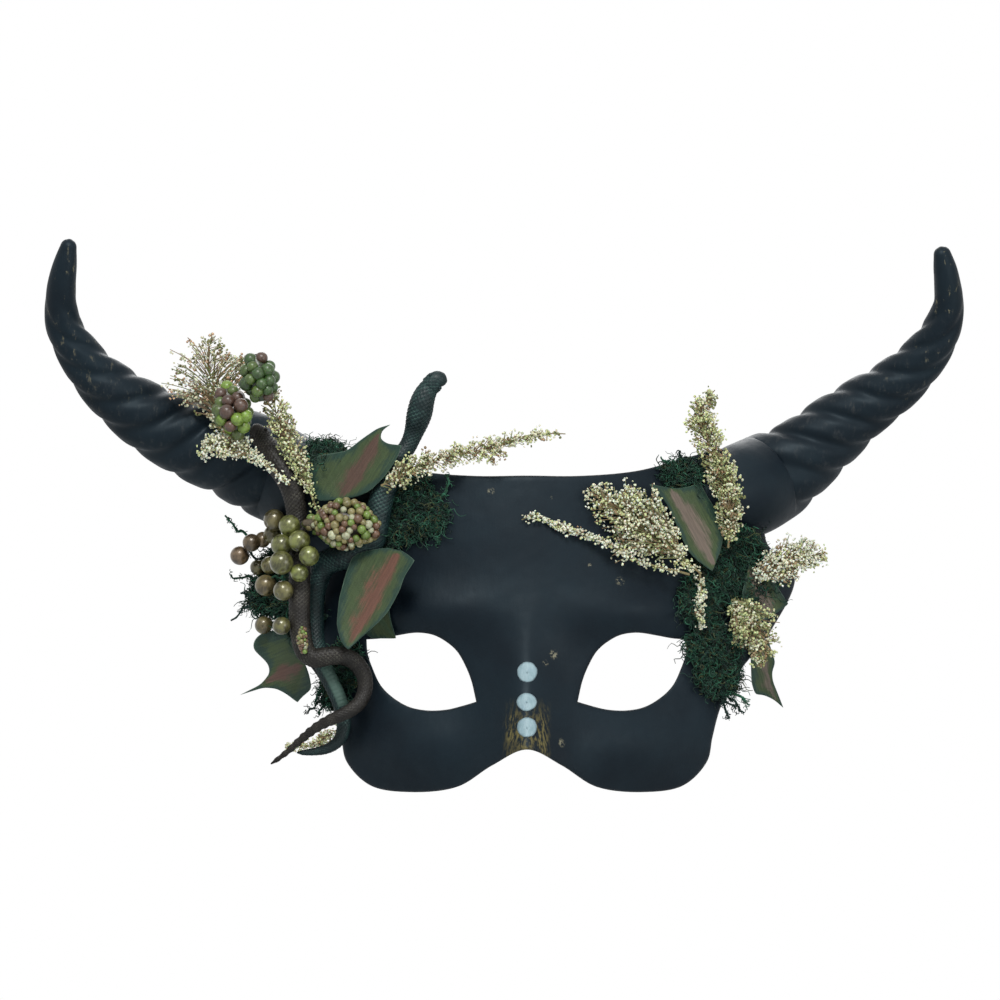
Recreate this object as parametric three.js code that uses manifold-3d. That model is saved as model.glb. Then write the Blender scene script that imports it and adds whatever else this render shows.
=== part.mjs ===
// A masquerade half mask: a papier-mache shell with two ridged horns, dressed with two
// rubber snakes, fabric leaves, moss, pearly berries and dried flower sprigs.
// Millimetres, +Z up. The face looks along -Y, +X is on the right as one looks at the front.
// The origin lies on the inside of the nose bridge, midway between the eye openings.
import * as THREE from 'three';
import Module from 'manifold-3d';
import { mergeVertices } from 'three/addons/utils/BufferGeometryUtils.js';

const wasm = await Module();
wasm.setup();

// ---------------------------------------------------------------- driving dimensions
const gap = 0.3;              // glue line left between pieces that touch
const wall = 2.2;             // papier-mache wall, measured square to the face
const templeHalf = 101.6;     // centre line to the outer corner of the shell
const crownHeight = 76;       // eye line up to the top edge over the brow
const cheekDrop = 45.4;       // eye line down to the lowest point of the cheek
const bow = 50;               // how far the temples sweep back behind the bridge
const foreheadLean = 9;       // how far the top edge leans back
const cheekTuck = 5;          // how far the lower edge tucks back
const noseRise = 22;          // how far the nose tip stands off the cheeks
const browRise = 4;           // how far the brow ridge stands off the forehead
const cheekRise = 6;          // how far the cheeks puff out
const socketDip = 3;          // how far the surface sinks around the eyes
const eyeSpacing = 79.4;      // centre to centre of the eye openings
const eyeWidth = 41.3;
const eyeHeight = 29.2;
const shellCell = 6.4;        // facet size of the shell

const hornReachRight = 72.6;  // from the shell's edge out to the furthest bend
const hornReachLeft = 84.5;
const hornRiseRight = 88.6;   // from the shell's edge up to the tip
const hornRiseLeft = 91.5;
const hornForward = 28;       // how far the tips come forward of the roots
const hornSink = 4;           // centre line of the root behind the shell's face
const ridgePitch = 15;        // from one ridge to the next along a horn
const ridgeDepth = 0.13;      // valley depth as a share of the horn's radius
const hornStrands = 4;        // strands that the ridges make as they wind round a horn
const hornStep = 3.2;         // facet length along a horn
const wireRadius = 1.2;       // armature wire up the middle of a horn
const wireSides = 6;
const wireEnd = 0.925;        // how far up the horn the wire goes, as a share of its length

const eyeletBore = 4.5;       // clear hole for the ribbon
const eyeletBarrel = 5.5;
const eyeletFlange = 9.2;
const eyeletSheet = 0.6;      // metal thickness of the barrel's flanges
const eyeletPlace = [81.5, 26];

const snakeTealRadius = 5;    // thickest part of each snake
const snakeBrownRadius = 4.1;
const leafSheet = 1;
const dotRadius = 3.9;
const dotThickness = 0.9;

// Places on the face are drawn on a face of this size, and stretch with it.
const drawn = { half: 101.6, crown: 76, drop: 45.4 };

function place(x, z) {
  const up = z >= 0 ? crownHeight / drawn.crown : cheekDrop / drawn.drop;
  return [x * templeHalf / drawn.half, z * up];
}

// ---------------------------------------------------------------- solids
function toSolid(geometry) {
  const bare = geometry.clone();
  bare.deleteAttribute('normal');
  bare.deleteAttribute('uv');
  const merged = mergeVertices(bare, 1e-4);
  return new wasm.Manifold(new wasm.Mesh({
    numProp: 3,
    vertProperties: new Float32Array(merged.attributes.position.array),
    triVerts: new Uint32Array(merged.index.array),
  }));
}

function toGeometry(solid) {
  const mesh = solid.getMesh();
  const geometry = new THREE.BufferGeometry();
  const corners = new Float32Array(mesh.vertProperties);
  geometry.setAttribute('position', new THREE.BufferAttribute(corners, 3));
  geometry.setIndex(new THREE.BufferAttribute(new Uint32Array(mesh.triVerts), 1));
  return geometry;
}

function largestBody(solid) {
  const bodies = solid.decompose();
  return bodies.reduce((best, body) => (body.volume() > best.volume() ? body : best));
}

function warp(geometry, move) {
  const position = geometry.attributes.position;
  const point = new THREE.Vector3();
  for (let i = 0; i < position.count; i++) {
    point.fromBufferAttribute(position, i);
    move(point);
    position.setXYZ(i, point.x, point.y, point.z);
  }
  return geometry;
}

// A flat outline in X and Z made into a prism that runs right through along Y.
function prism(shape, depth, segments) {
  const options = { depth, bevelEnabled: false, curveSegments: segments };
  const geometry = new THREE.ExtrudeGeometry(shape, options);
  geometry.rotateX(Math.PI / 2);
  geometry.translate(0, depth / 2, 0);
  return toSolid(geometry);
}

// A closed skin through rings of points around a centre line, closed at both ends by a cap.
function loft(centres, sides, radiusAt, flat = 1) {
  const curve = new THREE.CatmullRomCurve3(centres);
  const steps = centres.length - 1;
  const frames = curve.computeFrenetFrames(steps, false);
  const positions = [];
  const index = [];
  const point = new THREE.Vector3();
  for (let i = 0; i <= steps; i++) {
    const centre = curve.getPointAt(i / steps);
    for (let j = 0; j < sides; j++) {
      const angle = 2 * Math.PI * j / sides;
      const r = radiusAt(i / steps, angle);
      point.copy(centre);
      point.addScaledVector(frames.normals[i], r * Math.cos(angle));
      point.addScaledVector(frames.binormals[i], r * Math.sin(angle));
      point.y = centre.y + (point.y - centre.y) * flat;
      positions.push(point.x, point.y, point.z);
    }
  }
  for (let i = 0; i < steps; i++) {
    for (let j = 0; j < sides; j++) {
      const a = i * sides + j;
      const b = i * sides + (j + 1) % sides;
      index.push(a, b, a + sides, b, b + sides, a + sides);
    }
  }
  const start = (steps + 1) * sides;
  const first = curve.getPointAt(0);
  const last = curve.getPointAt(1);
  positions.push(first.x, first.y, first.z, last.x, last.y, last.z);
  for (let j = 0; j < sides; j++) {
    const next = (j + 1) % sides;
    index.push(start, next, j);
    index.push(start + 1, steps * sides + j, steps * sides + next);
  }
  const geometry = new THREE.BufferGeometry();
  geometry.setAttribute('position', new THREE.Float32BufferAttribute(positions, 3));
  geometry.setIndex(index);
  return geometry;
}

// ---------------------------------------------------------------- the face
const noseTop = 45 * crownHeight / drawn.crown;
const noseEnd = 29 * cheekDrop / drawn.drop;

function bump(distance, width) {
  return Math.exp(-((distance / width) ** 2));
}

function rawFace(x, z) {
  const side = Math.abs(x);
  const sweep = bow * (x / templeHalf) ** 2;
  const lean = z > 0 ? foreheadLean * (z / crownHeight) ** 2 : cheekTuck * (z / cheekDrop) ** 2;
  const down = THREE.MathUtils.clamp((noseTop - z) / (noseTop + noseEnd), 0, 1.1);
  const nose = noseRise * down ** 2 * Math.exp(-((side / (8 + 7 * down)) ** 2.4));
  const brow = browRise * bump(side - eyeSpacing / 2, 26) * bump(z - eyeHeight * 0.78, 9);
  const cheek = cheekRise * bump(side - eyeSpacing / 2, 22) * bump(z + eyeHeight, 15);
  const socket = socketDip * bump(side - eyeSpacing / 2, 24) * bump(z, 17);
  return sweep + lean - nose - brow - cheek + socket;
}

function slopes(x, z) {
  const step = 0.05;
  const fx = (rawFace(x + step, z) - rawFace(x - step, z)) / (2 * step);
  const fz = (rawFace(x, z + step) - rawFace(x, z - step)) / (2 * step);
  return { fx, fz, secant: Math.sqrt(1 + fx * fx + fz * fz) };
}

const faceOffset = -rawFace(0, 0) - wall * slopes(0, 0).secant;

function faceY(x, z) {
  return rawFace(x, z) + faceOffset;
}

function facePoint(x, z) {
  return new THREE.Vector3(x, faceY(x, z), z);
}

function faceInward(x, z) {
  const { fx, fz } = slopes(x, z);
  return new THREE.Vector3(-fx, 1, -fz).normalize();
}

// The shell's outline, right half from the middle of the top edge round to the nose notch.
const outlineHalf = [
  [0, 73.7], [20, 73.6], [42, 75.6], [62, 81], [74, 83.6], [83, 80.5], [88, 72],
  [89.5, 58], [91, 48], [96, 43], [101.6, 35.2], [92, 14.6], [79, -2], [73, -14],
  [70, -25], [68, -34], [59, -43], [44, -45.4], [26, -43.2], [13, -35], [0, -28.9],
];

function shellShape(grow) {
  const right = outlineHalf.map(([x, z]) => place(x, z));
  const left = right.slice(1, -1).reverse().map(([x, z]) => [-x, z]);
  const centre = new THREE.Vector2(0, 20);
  const points = [...right, ...left].map(([x, z]) => {
    const point = new THREE.Vector2(x, z);
    const away = point.clone().sub(centre).normalize();
    return point.addScaledVector(away, grow);
  });
  const rounded = new THREE.CatmullRomCurve3(
    points.map((p) => new THREE.Vector3(p.x, p.y, 0)), true, 'centripetal');
  const shape = new THREE.Shape();
  shape.setFromPoints(rounded.getPoints(90).slice(0, -1).map((p) => new THREE.Vector2(p.x, p.y)));
  return shape;
}

// One eye opening as shares of its width and height, from the inner corner round the lower lid.
const eyeOutline = [
  [-0.5, -0.385], [-0.37, -0.44], [-0.24, -0.485], [-0.07, -0.5], [0.1, -0.46],
  [0.25, -0.345], [0.365, -0.19], [0.445, 0.04], [0.49, 0.23], [0.5, 0.41],
  [0.365, 0.425], [0.225, 0.462], [0.045, 0.5], [-0.1, 0.475], [-0.21, 0.4],
  [-0.32, 0.27], [-0.4, 0.08], [-0.455, -0.115],
];

function eyeShape(side) {
  const points = eyeOutline.map(([u, v]) =>
    new THREE.Vector2(side * (eyeSpacing / 2 + u * eyeWidth), v * eyeHeight));
  return new THREE.Shape(side > 0 ? points : points.reverse());
}

// The shell's volume with its face and back moved out by grow, for the shell and for cutting.
function shellVolume(grow) {
  const width = 2 * (templeHalf + 8);
  const height = crownHeight + cheekDrop + 34;
  const middle = (crownHeight - cheekDrop) / 2;
  const across = Math.round(width / shellCell);
  const up = Math.round(height / shellCell);
  const slab = new THREE.BoxGeometry(width, 2, height, across, 1, up);
  slab.translate(0, 0, middle);
  const sheet = toSolid(slab).intersect(prism(shellShape(grow), 10, 4));
  return warp(toGeometry(sheet), (p) => {
    const { secant } = slopes(p.x, p.z);
    const depth = p.y < 0 ? -grow : wall + grow;
    p.y = faceY(p.x, p.z) + depth * secant;
  });
}

function eyelet(side) {
  const [x, z] = place(side * eyeletPlace[0], eyeletPlace[1]);
  const front = -gap - eyeletSheet;
  const back = wall + gap + eyeletSheet;
  const profile = [
    [eyeletBore / 2, front], [eyeletFlange / 2, front], [eyeletFlange / 2, front + eyeletSheet],
    [eyeletBarrel / 2, front + eyeletSheet], [eyeletBarrel / 2, back - eyeletSheet],
    [eyeletFlange / 2, back - eyeletSheet], [eyeletFlange / 2, back], [eyeletBore / 2, back],
    [eyeletBore / 2, front],
  ].map(([r, y]) => new THREE.Vector2(r, y));
  const lathed = new THREE.Vector3(0, 1, 0);
  const turn = new THREE.Quaternion().setFromUnitVectors(lathed, faceInward(x, z));
  return { at: facePoint(x, z), turn, geometry: new THREE.LatheGeometry(profile, 14) };
}

const eyelets = { left: eyelet(-1), right: eyelet(1) };

function eyeletCut(fitting, radius, depth) {
  const drill = new THREE.CylinderGeometry(radius, radius, depth, 20);
  drill.applyQuaternion(fitting.turn);
  drill.translate(fitting.at.x, fitting.at.y, fitting.at.z);
  return toSolid(drill);
}

function shellSolid() {
  const through = 400;
  let shell = toSolid(shellVolume(0));
  shell = shell.subtract(prism(eyeShape(1), through, 1)).subtract(prism(eyeShape(-1), through, 1));
  for (const fitting of [eyelets.left, eyelets.right]) {
    shell = shell.subtract(eyeletCut(fitting, eyeletBarrel / 2 + gap, 12));
  }
  return largestBody(shell);
}

// ---------------------------------------------------------------- the horns
// Root points lie on the face: [x, z, radius]. Free points are shares of the reach and the
// rise beyond the shell's edge, a share of the forward lean, and a radius.
const hornRoot = [[55, 66, 4], [67, 66, 13], [79, 67, 18], [91.7, 72.7, 18]];
const hornFree = {
  right: [
    [0.137, 0.07, 0, 14.8], [0.308, 0.184, 0.02, 13.2], [0.455, 0.282, 0.08, 11.6],
    [0.636, 0.386, 0.22, 10.2], [0.764, 0.481, 0.36, 9], [0.876, 0.604, 0.55, 7.5],
    [0.928, 0.735, 0.74, 5.9], [0.92, 0.84, 0.86, 4.9], [0.899, 0.935, 0.95, 4],
    [0.885, 0.985, 1, 2.3],
  ],
  left: [
    [0.107, 0.052, 0, 18.2], [0.225, 0.105, 0.02, 17], [0.394, 0.158, 0.06, 15.2],
    [0.554, 0.222, 0.14, 13.2], [0.713, 0.32, 0.28, 11.3], [0.861, 0.446, 0.44, 8.9],
    [0.977, 0.615, 0.62, 6.8], [0.994, 0.692, 0.72, 6.1], [0.992, 0.79, 0.83, 5.5],
    [0.971, 0.902, 0.93, 4.4], [0.952, 0.985, 1, 2.3],
  ],
};

function hornLine(side) {
  const name = side > 0 ? 'right' : 'left';
  const reach = side > 0 ? hornReachRight : hornReachLeft;
  const rise = side > 0 ? hornRiseRight : hornRiseLeft;
  const points = [];
  const radii = [];
  for (const [dx, dz, r] of hornRoot) {
    const [x, z] = place(side * dx, dz);
    points.push(new THREE.Vector3(x, faceY(x, z) + hornSink, z));
    radii.push(r);
  }
  const exit = points[points.length - 1];
  for (const [u, v, w, r] of hornFree[name]) {
    const out = new THREE.Vector3(side * u * reach, -w * hornForward, v * rise);
    points.push(out.add(exit));
    radii.push(r);
  }
  const curve = new THREE.CatmullRomCurve3(points, false, 'centripetal');
  const widths = new THREE.CatmullRomCurve3(radii.map((r, i) => new THREE.Vector3(r, i * 10, 0)));
  const length = curve.getLength();
  const radiusAt = (u) => widths.getPoint(curve.getUtoTmapping(u)).x;
  const exitShare = (hornRoot.length - 1) / (points.length - 1);
  let exitAt = 0;
  while (curve.getUtoTmapping(exitAt) < exitShare) exitAt += 0.005;
  return { side, curve, length, radiusAt, exitAt };
}

const horns = { left: hornLine(-1), right: hornLine(1) };

// Ridges wind round the horn in long strands and fade out at the root and near the tip.
function ridged(horn, u, angle) {
  const phase = -hornStrands * horn.side * angle + 2 * Math.PI * u * horn.length / ridgePitch;
  const valley = (0.5 + 0.5 * Math.cos(phase)) ** 3;
  const strength = THREE.MathUtils.smoothstep(u, horn.exitAt * 0.9, horn.exitAt * 1.3)
    * (1 - THREE.MathUtils.smoothstep(u, 0.8, 0.9));
  return horn.radiusAt(u) * (1 + 0.03 * strength - ridgeDepth * strength * valley);
}

function hornSolid(horn) {
  const steps = Math.round(horn.length / hornStep);
  const centres = horn.curve.getSpacedPoints(steps);
  const skin = toSolid(loft(centres, 16, (u, angle) => ridged(horn, u, angle)));
  const boreRadius = (wireRadius + gap) / Math.cos(Math.PI / wireSides);
  const bore = toSolid(wireGeometry(horn, boreRadius, horn.exitAt - 0.07, wireEnd + 0.005));
  return largestBody(skin.subtract(toSolid(shellVolume(gap))).subtract(bore));
}

function wireGeometry(horn, radius, from, to) {
  const steps = 22;
  const centres = [];
  for (let i = 0; i <= steps; i++) {
    centres.push(horn.curve.getPointAt(from + (to - from) * i / steps));
  }
  return loft(centres, wireSides, () => radius);
}

// ---------------------------------------------------------------- laying pieces on the face
// What stands behind a new piece: balls along each body, and layers that give the front of
// a flat thing at x, z, or nothing where it isn't.
const balls = [];
const layers = [];

for (const horn of [horns.left, horns.right]) {
  const count = Math.round(horn.length / 2);
  for (let i = 0; i <= count; i++) {
    balls.push({ at: horn.curve.getPointAt(i / count), r: horn.radiusAt(i / count) * 1.03 });
  }
}

function ballsY(x, z, clearance) {
  let y = Infinity;
  for (const ball of balls) {
    const reach = ball.r + clearance;
    const apart = (x - ball.at.x) ** 2 + (z - ball.at.z) ** 2;
    if (apart < reach * reach) y = Math.min(y, ball.at.y - Math.sqrt(reach * reach - apart));
  }
  return y;
}

// Front of whatever is furthest forward at x, z, less the glue line.
function supportY(x, z) {
  const skin = faceY(x, z) - gap * slopes(x, z).secant;
  const round = ballsY(x, z, gap + 0.1);
  return layers.reduce((y, layer) => Math.min(y, layer(x, z)), Math.min(skin, round));
}

// The furthest back that a ball, or a ball flattened along Y, can stand and clear what is behind it.
function restY(x, z, r, flat = 1) {
  const rings = [[0, 1], [0.35, 6], [0.68, 10], [0.97, 14]];
  let y = Infinity;
  for (const [share, count] of rings) {
    for (let k = 0; k < count; k++) {
      const angle = 2 * Math.PI * k / count;
      const depth = flat * r * Math.sqrt(1 - share * share);
      const behind = supportY(x + r * share * Math.cos(angle), z + r * share * Math.sin(angle));
      y = Math.min(y, behind - depth);
    }
  }
  return y;
}

function between(values) {
  const curve = new THREE.CatmullRomCurve3(values.map((v, i) => new THREE.Vector3(v, i * 10, 0)));
  return (u) => curve.getPoint(u).x;
}

// A route in X and Z laid on what is behind it: it climbs over each thing in a smooth hump.
// A stiff one holds its height once it has left what carries it.
function lay(route, radiusAt, { step = 3.5, flat = 1, stiff = false, lift = () => 0 }) {
  const drawnRoute = route.map(([x, z]) => new THREE.Vector3(...place(x, z), 0));
  const flatCurve = new THREE.CatmullRomCurve3(drawnRoute, false, 'centripetal');
  const count = Math.max(4, Math.round(flatCurve.getLength() / step));
  const points = flatCurve.getSpacedPoints(count);
  const reach = Math.max(1, Math.round(6 / step));
  const rests = points.map((p, i) => restY(p.x, p.y, radiusAt(i / count) + 0.15, flat));
  for (let i = 1; stiff && i <= count; i++) rests[i] = Math.min(rests[i], rests[i - 1]);
  const around = (values, i) => values.slice(Math.max(0, i - reach), i + reach + 1);
  const least = rests.map((_, i) => Math.min(...around(rests, i)));
  return points.map((p, i) => {
    const near = around(least, i);
    const y = near.reduce((a, b) => a + b) / near.length;
    return new THREE.Vector3(p.x, y - lift(i / count), p.y);
  });
}

// Slides a piece straight back until only the glue line is left between it and a piece
// already in place. A step is never longer than the room that is left, so it can't cut in.
const placed = [];

// A piece with nothing behind it stays where it is.
function seat(solid) {
  const search = 5;
  const most = 12;
  let shift = 0;
  for (let turn = 0; turn < 16 && shift < most; turn++) {
    const moved = solid.translate([0, shift, 0]);
    const room = placed.reduce((least, other) => Math.min(least, moved.minGap(other, search)), search);
    if (room < gap + 0.02) return shift;
    shift += room - gap;
  }
  return shift < most ? shift : 0;
}

// A snake, a stem or a flower spike: a tapering body that follows a laid route.
function laidBody(route, radii, options = {}) {
  const { sides = 8, flat = 1 } = options;
  const radiusAt = between(radii);
  const centres = lay(route, radiusAt, options);
  const body = toSolid(loft(centres, sides, radiusAt, flat));
  const shift = seat(body);
  const curve = new THREE.CatmullRomCurve3(centres.map((p) => p.clone().setY(p.y + shift)));
  const count = Math.round(curve.getLength() / 1.5);
  for (let i = 0; i <= count; i++) {
    balls.push({ at: curve.getPointAt(i / count), r: radiusAt(i / count) });
  }
  return body.translate([0, shift, 0]);
}

// ---------------------------------------------------------------- low domes: moss and painted dots
// Each dome is [x, z, half width, half height, thickness], and lies on the shell and the horns.
// Grown by grow it is the room that a later bed has to leave around it.
function dome([drawnX, drawnZ, width, length, thickness], grow = 0) {
  const [x, z] = place(drawnX, drawnZ);
  const [rx, rz, height] = [width + grow, length + grow, thickness + grow];
  const rings = [0.62, 1];
  const around = 9;
  const rim = 0.7 + grow;
  const floor = (px, pz) => {
    const skin = faceY(px, pz) - gap * slopes(px, pz).secant;
    return Math.min(skin, ballsY(px, pz, gap + 0.5));
  };
  const positions = [];
  const index = [];
  const add = (px, pz, lift) => positions.push(px, floor(px, pz) - (lift || -4 * grow), pz);
  add(x, z, 0);
  add(x, z, height);
  for (const ring of rings) {
    for (let j = 0; j < around; j++) {
      const angle = 2 * Math.PI * j / around;
      const px = x + ring * rx * Math.cos(angle);
      const pz = z + ring * rz * Math.sin(angle);
      add(px, pz, 0);
      add(px, pz, Math.max(rim, height * Math.sqrt(1 - ring * ring)));
    }
  }
  const at = (ring, j, front) => 2 + (ring * around + j % around) * 2 + front;
  for (let j = 0; j < around; j++) {
    index.push(0, at(0, j + 1, 0), at(0, j, 0), 1, at(0, j, 1), at(0, j + 1, 1));
    for (let ring = 0; ring < rings.length - 1; ring++) {
      for (const front of [0, 1]) {
        const [p, q] = front ? [j + 1, j] : [j, j + 1];
        const [a, b] = [at(ring, p, front), at(ring, q, front)];
        const [c, d] = [at(ring + 1, p, front), at(ring + 1, q, front)];
        index.push(a, b, c, b, d, c);
      }
    }
    const last = rings.length - 1;
    const [a, b, c, d] = [at(last, j, 0), at(last, j + 1, 0), at(last, j, 1), at(last, j + 1, 1)];
    index.push(a, b, c, b, d, c);
  }
  const geometry = new THREE.BufferGeometry();
  geometry.setAttribute('position', new THREE.Float32BufferAttribute(positions, 3));
  geometry.setIndex(index);
  const layer = (px, pz) => {
    const share = ((px - x) / (rx + 0.4)) ** 2 + ((pz - z) / (rz + 0.4)) ** 2;
    if (share >= 1) return Infinity;
    return floor(px, pz) - Math.max(rim, height * Math.sqrt(1 - share)) - gap - 0.1;
  };
  return { solid: toSolid(geometry), layer };
}

const bedRoom = [];

function mossBed(domes) {
  const made = domes.map((size) => dome(size));
  let bed = made.map((one) => one.solid).reduce((all, one) => all.add(one));
  for (const room of bedRoom) bed = bed.subtract(room);
  domes.forEach((size) => bedRoom.push(dome(size, gap + 0.2).solid));
  for (const fitting of [eyelets.left, eyelets.right]) {
    bed = bed.subtract(eyeletCut(fitting, eyeletFlange / 2 + gap, 2 * (eyeletSheet + 2 * gap)));
  }
  made.forEach((one) => layers.push(one.layer));
  return largestBody(bed);
}

// ---------------------------------------------------------------- leaves
function inside(points, x, z) {
  let hit = false;
  for (let i = 0, j = points.length - 1; i < points.length; j = i++) {
    const a = points[i];
    const b = points[j];
    if ((a.y > z) !== (b.y > z) && x < (b.x - a.x) * (z - a.y) / (b.y - a.y) + a.x) hit = !hit;
  }
  return hit;
}

function nearOutline(points, x, z, reach) {
  return points.some((a, i) => {
    const b = points[(i + 1) % points.length];
    const along = THREE.MathUtils.clamp(
      ((x - a.x) * (b.x - a.x) + (z - a.y) * (b.y - a.y)) / a.distanceToSquared(b), 0, 1);
    return Math.hypot(x - a.x - along * (b.x - a.x), z - a.y - along * (b.y - a.y)) < reach;
  });
}

// A cut leaf: it lies along the face, leans by its tilt, and its edges curl away from its rib.
function leaf(outline, { tilt = [0, 0], curl = 3 }) {
  const points = outline.map(([x, z]) => new THREE.Vector2(...place(x, z)));
  const box = new THREE.Box2().setFromPoints(points);
  const size = box.getSize(new THREE.Vector2());
  const middle = box.getCenter(new THREE.Vector2());
  const { fx, fz } = slopes(middle.x, middle.y);
  const bend = (x, z) => {
    const u = (x - middle.x) / size.x;
    const v = (z - middle.y) / size.y;
    const lean = (fx + tilt[0]) * (x - middle.x) + (fz + tilt[1]) * (z - middle.y);
    return lean - 2 * curl * (u * u + v * v);
  };
  let shift = Infinity;
  const grid = 1.5;
  for (let x = box.min.x - 1; x <= box.max.x + 1; x += grid) {
    for (let z = box.min.y - 1; z <= box.max.y + 1; z += grid) {
      if (inside(points, x, z) || nearOutline(points, x, z, 1)) {
        shift = Math.min(shift, supportY(x, z) - bend(x, z) - leafSheet - 0.2);
      }
    }
  }
  const cell = 5;
  const slab = new THREE.BoxGeometry(size.x + 2, 2, size.y + 2,
    Math.ceil(size.x / cell), 1, Math.ceil(size.y / cell));
  slab.translate(middle.x, 0, middle.y);
  const sheet = toSolid(slab).intersect(prism(new THREE.Shape(points), 10, 1));
  const bent = toSolid(warp(toGeometry(sheet), (p) => {
    p.y = shift + bend(p.x, p.z) + (p.y < 0 ? 0 : leafSheet);
  }));
  const back = seat(bent);
  shift += back;
  layers.push((x, z) => (inside(points, x, z) || nearOutline(points, x, z, 0.5)
    ? shift + bend(x, z) - gap - 0.15 : Infinity));
  return largestBody(bent.translate([0, back, 0]));
}

// ---------------------------------------------------------------- what is glued on
// Each painted dot is [x, z, height as a share of its width].
const dots = {
  nose_dot_upper: [0, 0, 1], nose_dot_middle: [-0.2, -11.2, 0.88], nose_dot_lower: [-0.1, -20.6, 0.97],
};

const mossBeds = {
  moss_brow_left: [[-46.5, 67, 10.5, 9.5, 4.5], [-40, 59, 11, 9, 3.5], [-50, 53.5, 8, 7, 3.5]],
  moss_horn_left: [[-75.5, 81, 8, 6, 3]],
  moss_temple_left: [[-92, 38, 9, 9, 3], [-96.5, 28, 9, 8, 3.5], [-86, 20, 9, 8, 3]],
  moss_cheek_left: [[-68, 3, 6.5, 8.5, 3.5], [-72, -7, 5.5, 8, 3]],
  moss_temple_right: [[78, 45, 11, 10, 5], [73, 35.5, 12, 9, 5], [84, 31, 10, 9, 4.5], [65, 26, 8, 9, 4]],
  moss_cheek_right: [[70, 9.5, 10.5, 9, 4.5], [72, -1, 8.5, 9, 4.5]],
  moss_brow_right: [[58, 74.5, 8.5, 5, 2.5]],
};

const leafOutlines = {
  leaf_cheek_left: [
    [-95.6, 15.4], [-100.9, 13.9], [-103.5, 10.9], [-103.5, 7.9], [-100.9, 5.6], [-97.6, 2.4],
    [-97.1, -1], [-100.5, -5.2], [-108.8, -9.4], [-99.4, -6.4], [-94.5, -6.8], [-90.4, -9],
    [-86.6, -12], [-84.8, -9.8], [-81, -6.8], [-82.1, -1.1], [-85.1, 6.4], [-90, 13.9],
  ],
  leaf_temple_left_back: [
    [-52.1, 25.1], [-51, 18.8], [-49.1, 12.4], [-58.9, 12.4], [-61.9, 15.8], [-59.6, 22.5],
    [-55.9, 27],
  ],
  leaf_temple_left: [
    [-65.6, 43.5], [-60.8, 45.4], [-53, 46.6], [-46.5, 45.4], [-42, 42], [-46.1, 35.6], [-47.6, 30.8],
    [-51.8, 22.9], [-55.1, 19.1], [-61.9, 13.1], [-67.1, 8.2], [-69.8, 11.2], [-71.5, 18],
    [-70.5, 27.8], [-68.2, 36.4],
  ],
  leaf_brow_left: [
    [-82.9, 78.8], [-78.4, 81.4], [-67.9, 82.9], [-62.2, 87.4], [-56.2, 91.5], [-51, 93], [-54.6, 90.6],
    [-55.2, 87.6], [-52.5, 85.6], [-46.9, 85.1], [-49.1, 79.5], [-53.2, 73.5], [-58.9, 67.9],
    [-64.1, 65.6], [-71.6, 64.5], [-78.4, 64.1], [-81.4, 69],
  ],
  leaf_brow_right: [
    [45.8, 70.5], [54.4, 69], [58.9, 69], [61.9, 69.8], [65.2, 71.2], [68.2, 65.6], [73.5, 57.4],
    [74.2, 52.5], [73.1, 45.8], [69.8, 37.5], [63.8, 42], [60.4, 45.4], [57.4, 52.5], [52.5, 63.4],
  ],
  leaf_temple_right: [
    [83.6, 39.8], [89.2, 38.2], [93.4, 33.8], [99, 25.1], [91.1, 19.5], [85.5, 17.6], [81, 23.2],
    [81, 28.9], [82.5, 34.5],
  ],
  leaf_cheek_right: [
    [86.2, 12], [91.1, 12], [94.1, 3], [92.6, -0.4], [93, -4.1], [94.9, -8.6], [97.1, -14.2],
    [93.4, -10.9], [89.2, -9], [86.2, -9], [84.8, -4.5], [84.4, 8.2],
  ],
};

const snakeTealRoute = [
  [-30, 109.1], [-32.6, 109.9], [-35.6, 108], [-38.6, 103.5], [-40.1, 98.2], [-42, 91.5],
  [-44.6, 85.1], [-48.4, 79.5], [-52.1, 72], [-54.8, 64.5], [-56.6, 56.2], [-58.5, 49.1],
  [-63.4, 45.4], [-69.4, 43.1], [-75.4, 40.9], [-78.8, 35.2], [-80.2, 28.5], [-80.2, 19.5],
  [-79.1, 8.6], [-76.9, 2.6], [-74.2, -3], [-71.2, -9.4], [-69.4, -15], [-69, -21],
  [-70.9, -26.2], [-75.4, -29.2], [-81.4, -30.4], [-86.6, -30.6],
];
const snakeBrownRoute = [
  [-102.8, 93], [-100.9, 89.2], [-97.9, 84.4], [-94.1, 79.1], [-90, 72.8], [-87.8, 66.4],
  [-86.6, 58.9], [-85.9, 49.5], [-85.5, 40.1], [-85.5, 30.8], [-85.5, 21.4], [-84.8, 13.1],
  [-83.2, 7.5], [-80.2, 5.2], [-75.8, 5.6], [-69.8, 6], [-64.9, 3.8], [-61.5, -0.8],
  [-60.8, -6], [-62.6, -11.2], [-66.4, -14.6], [-70.9, -16.9], [-75.8, -19.1], [-80.2, -21.8],
  [-84.8, -25.5], [-88.9, -29.2], [-92.6, -32.2], [-96.4, -34.9],
];

// Radius of each snake from head to tail, as shares of its thickest part.
const snakeTealGirth = [
  0.36, 0.8, 0.98, 0.68, 0.72, 0.86, 0.96, 1, 1, 1, 1, 1, 1, 1, 1, 0.94, 0.88, 0.72, 0.52, 0.24,
];
const snakeBrownGirth = [
  0.49, 1.12, 1.22, 1, 1, 1, 1, 1, 1, 1, 1, 0.95, 0.85, 0.68, 0.51, 0.27,
];

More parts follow.
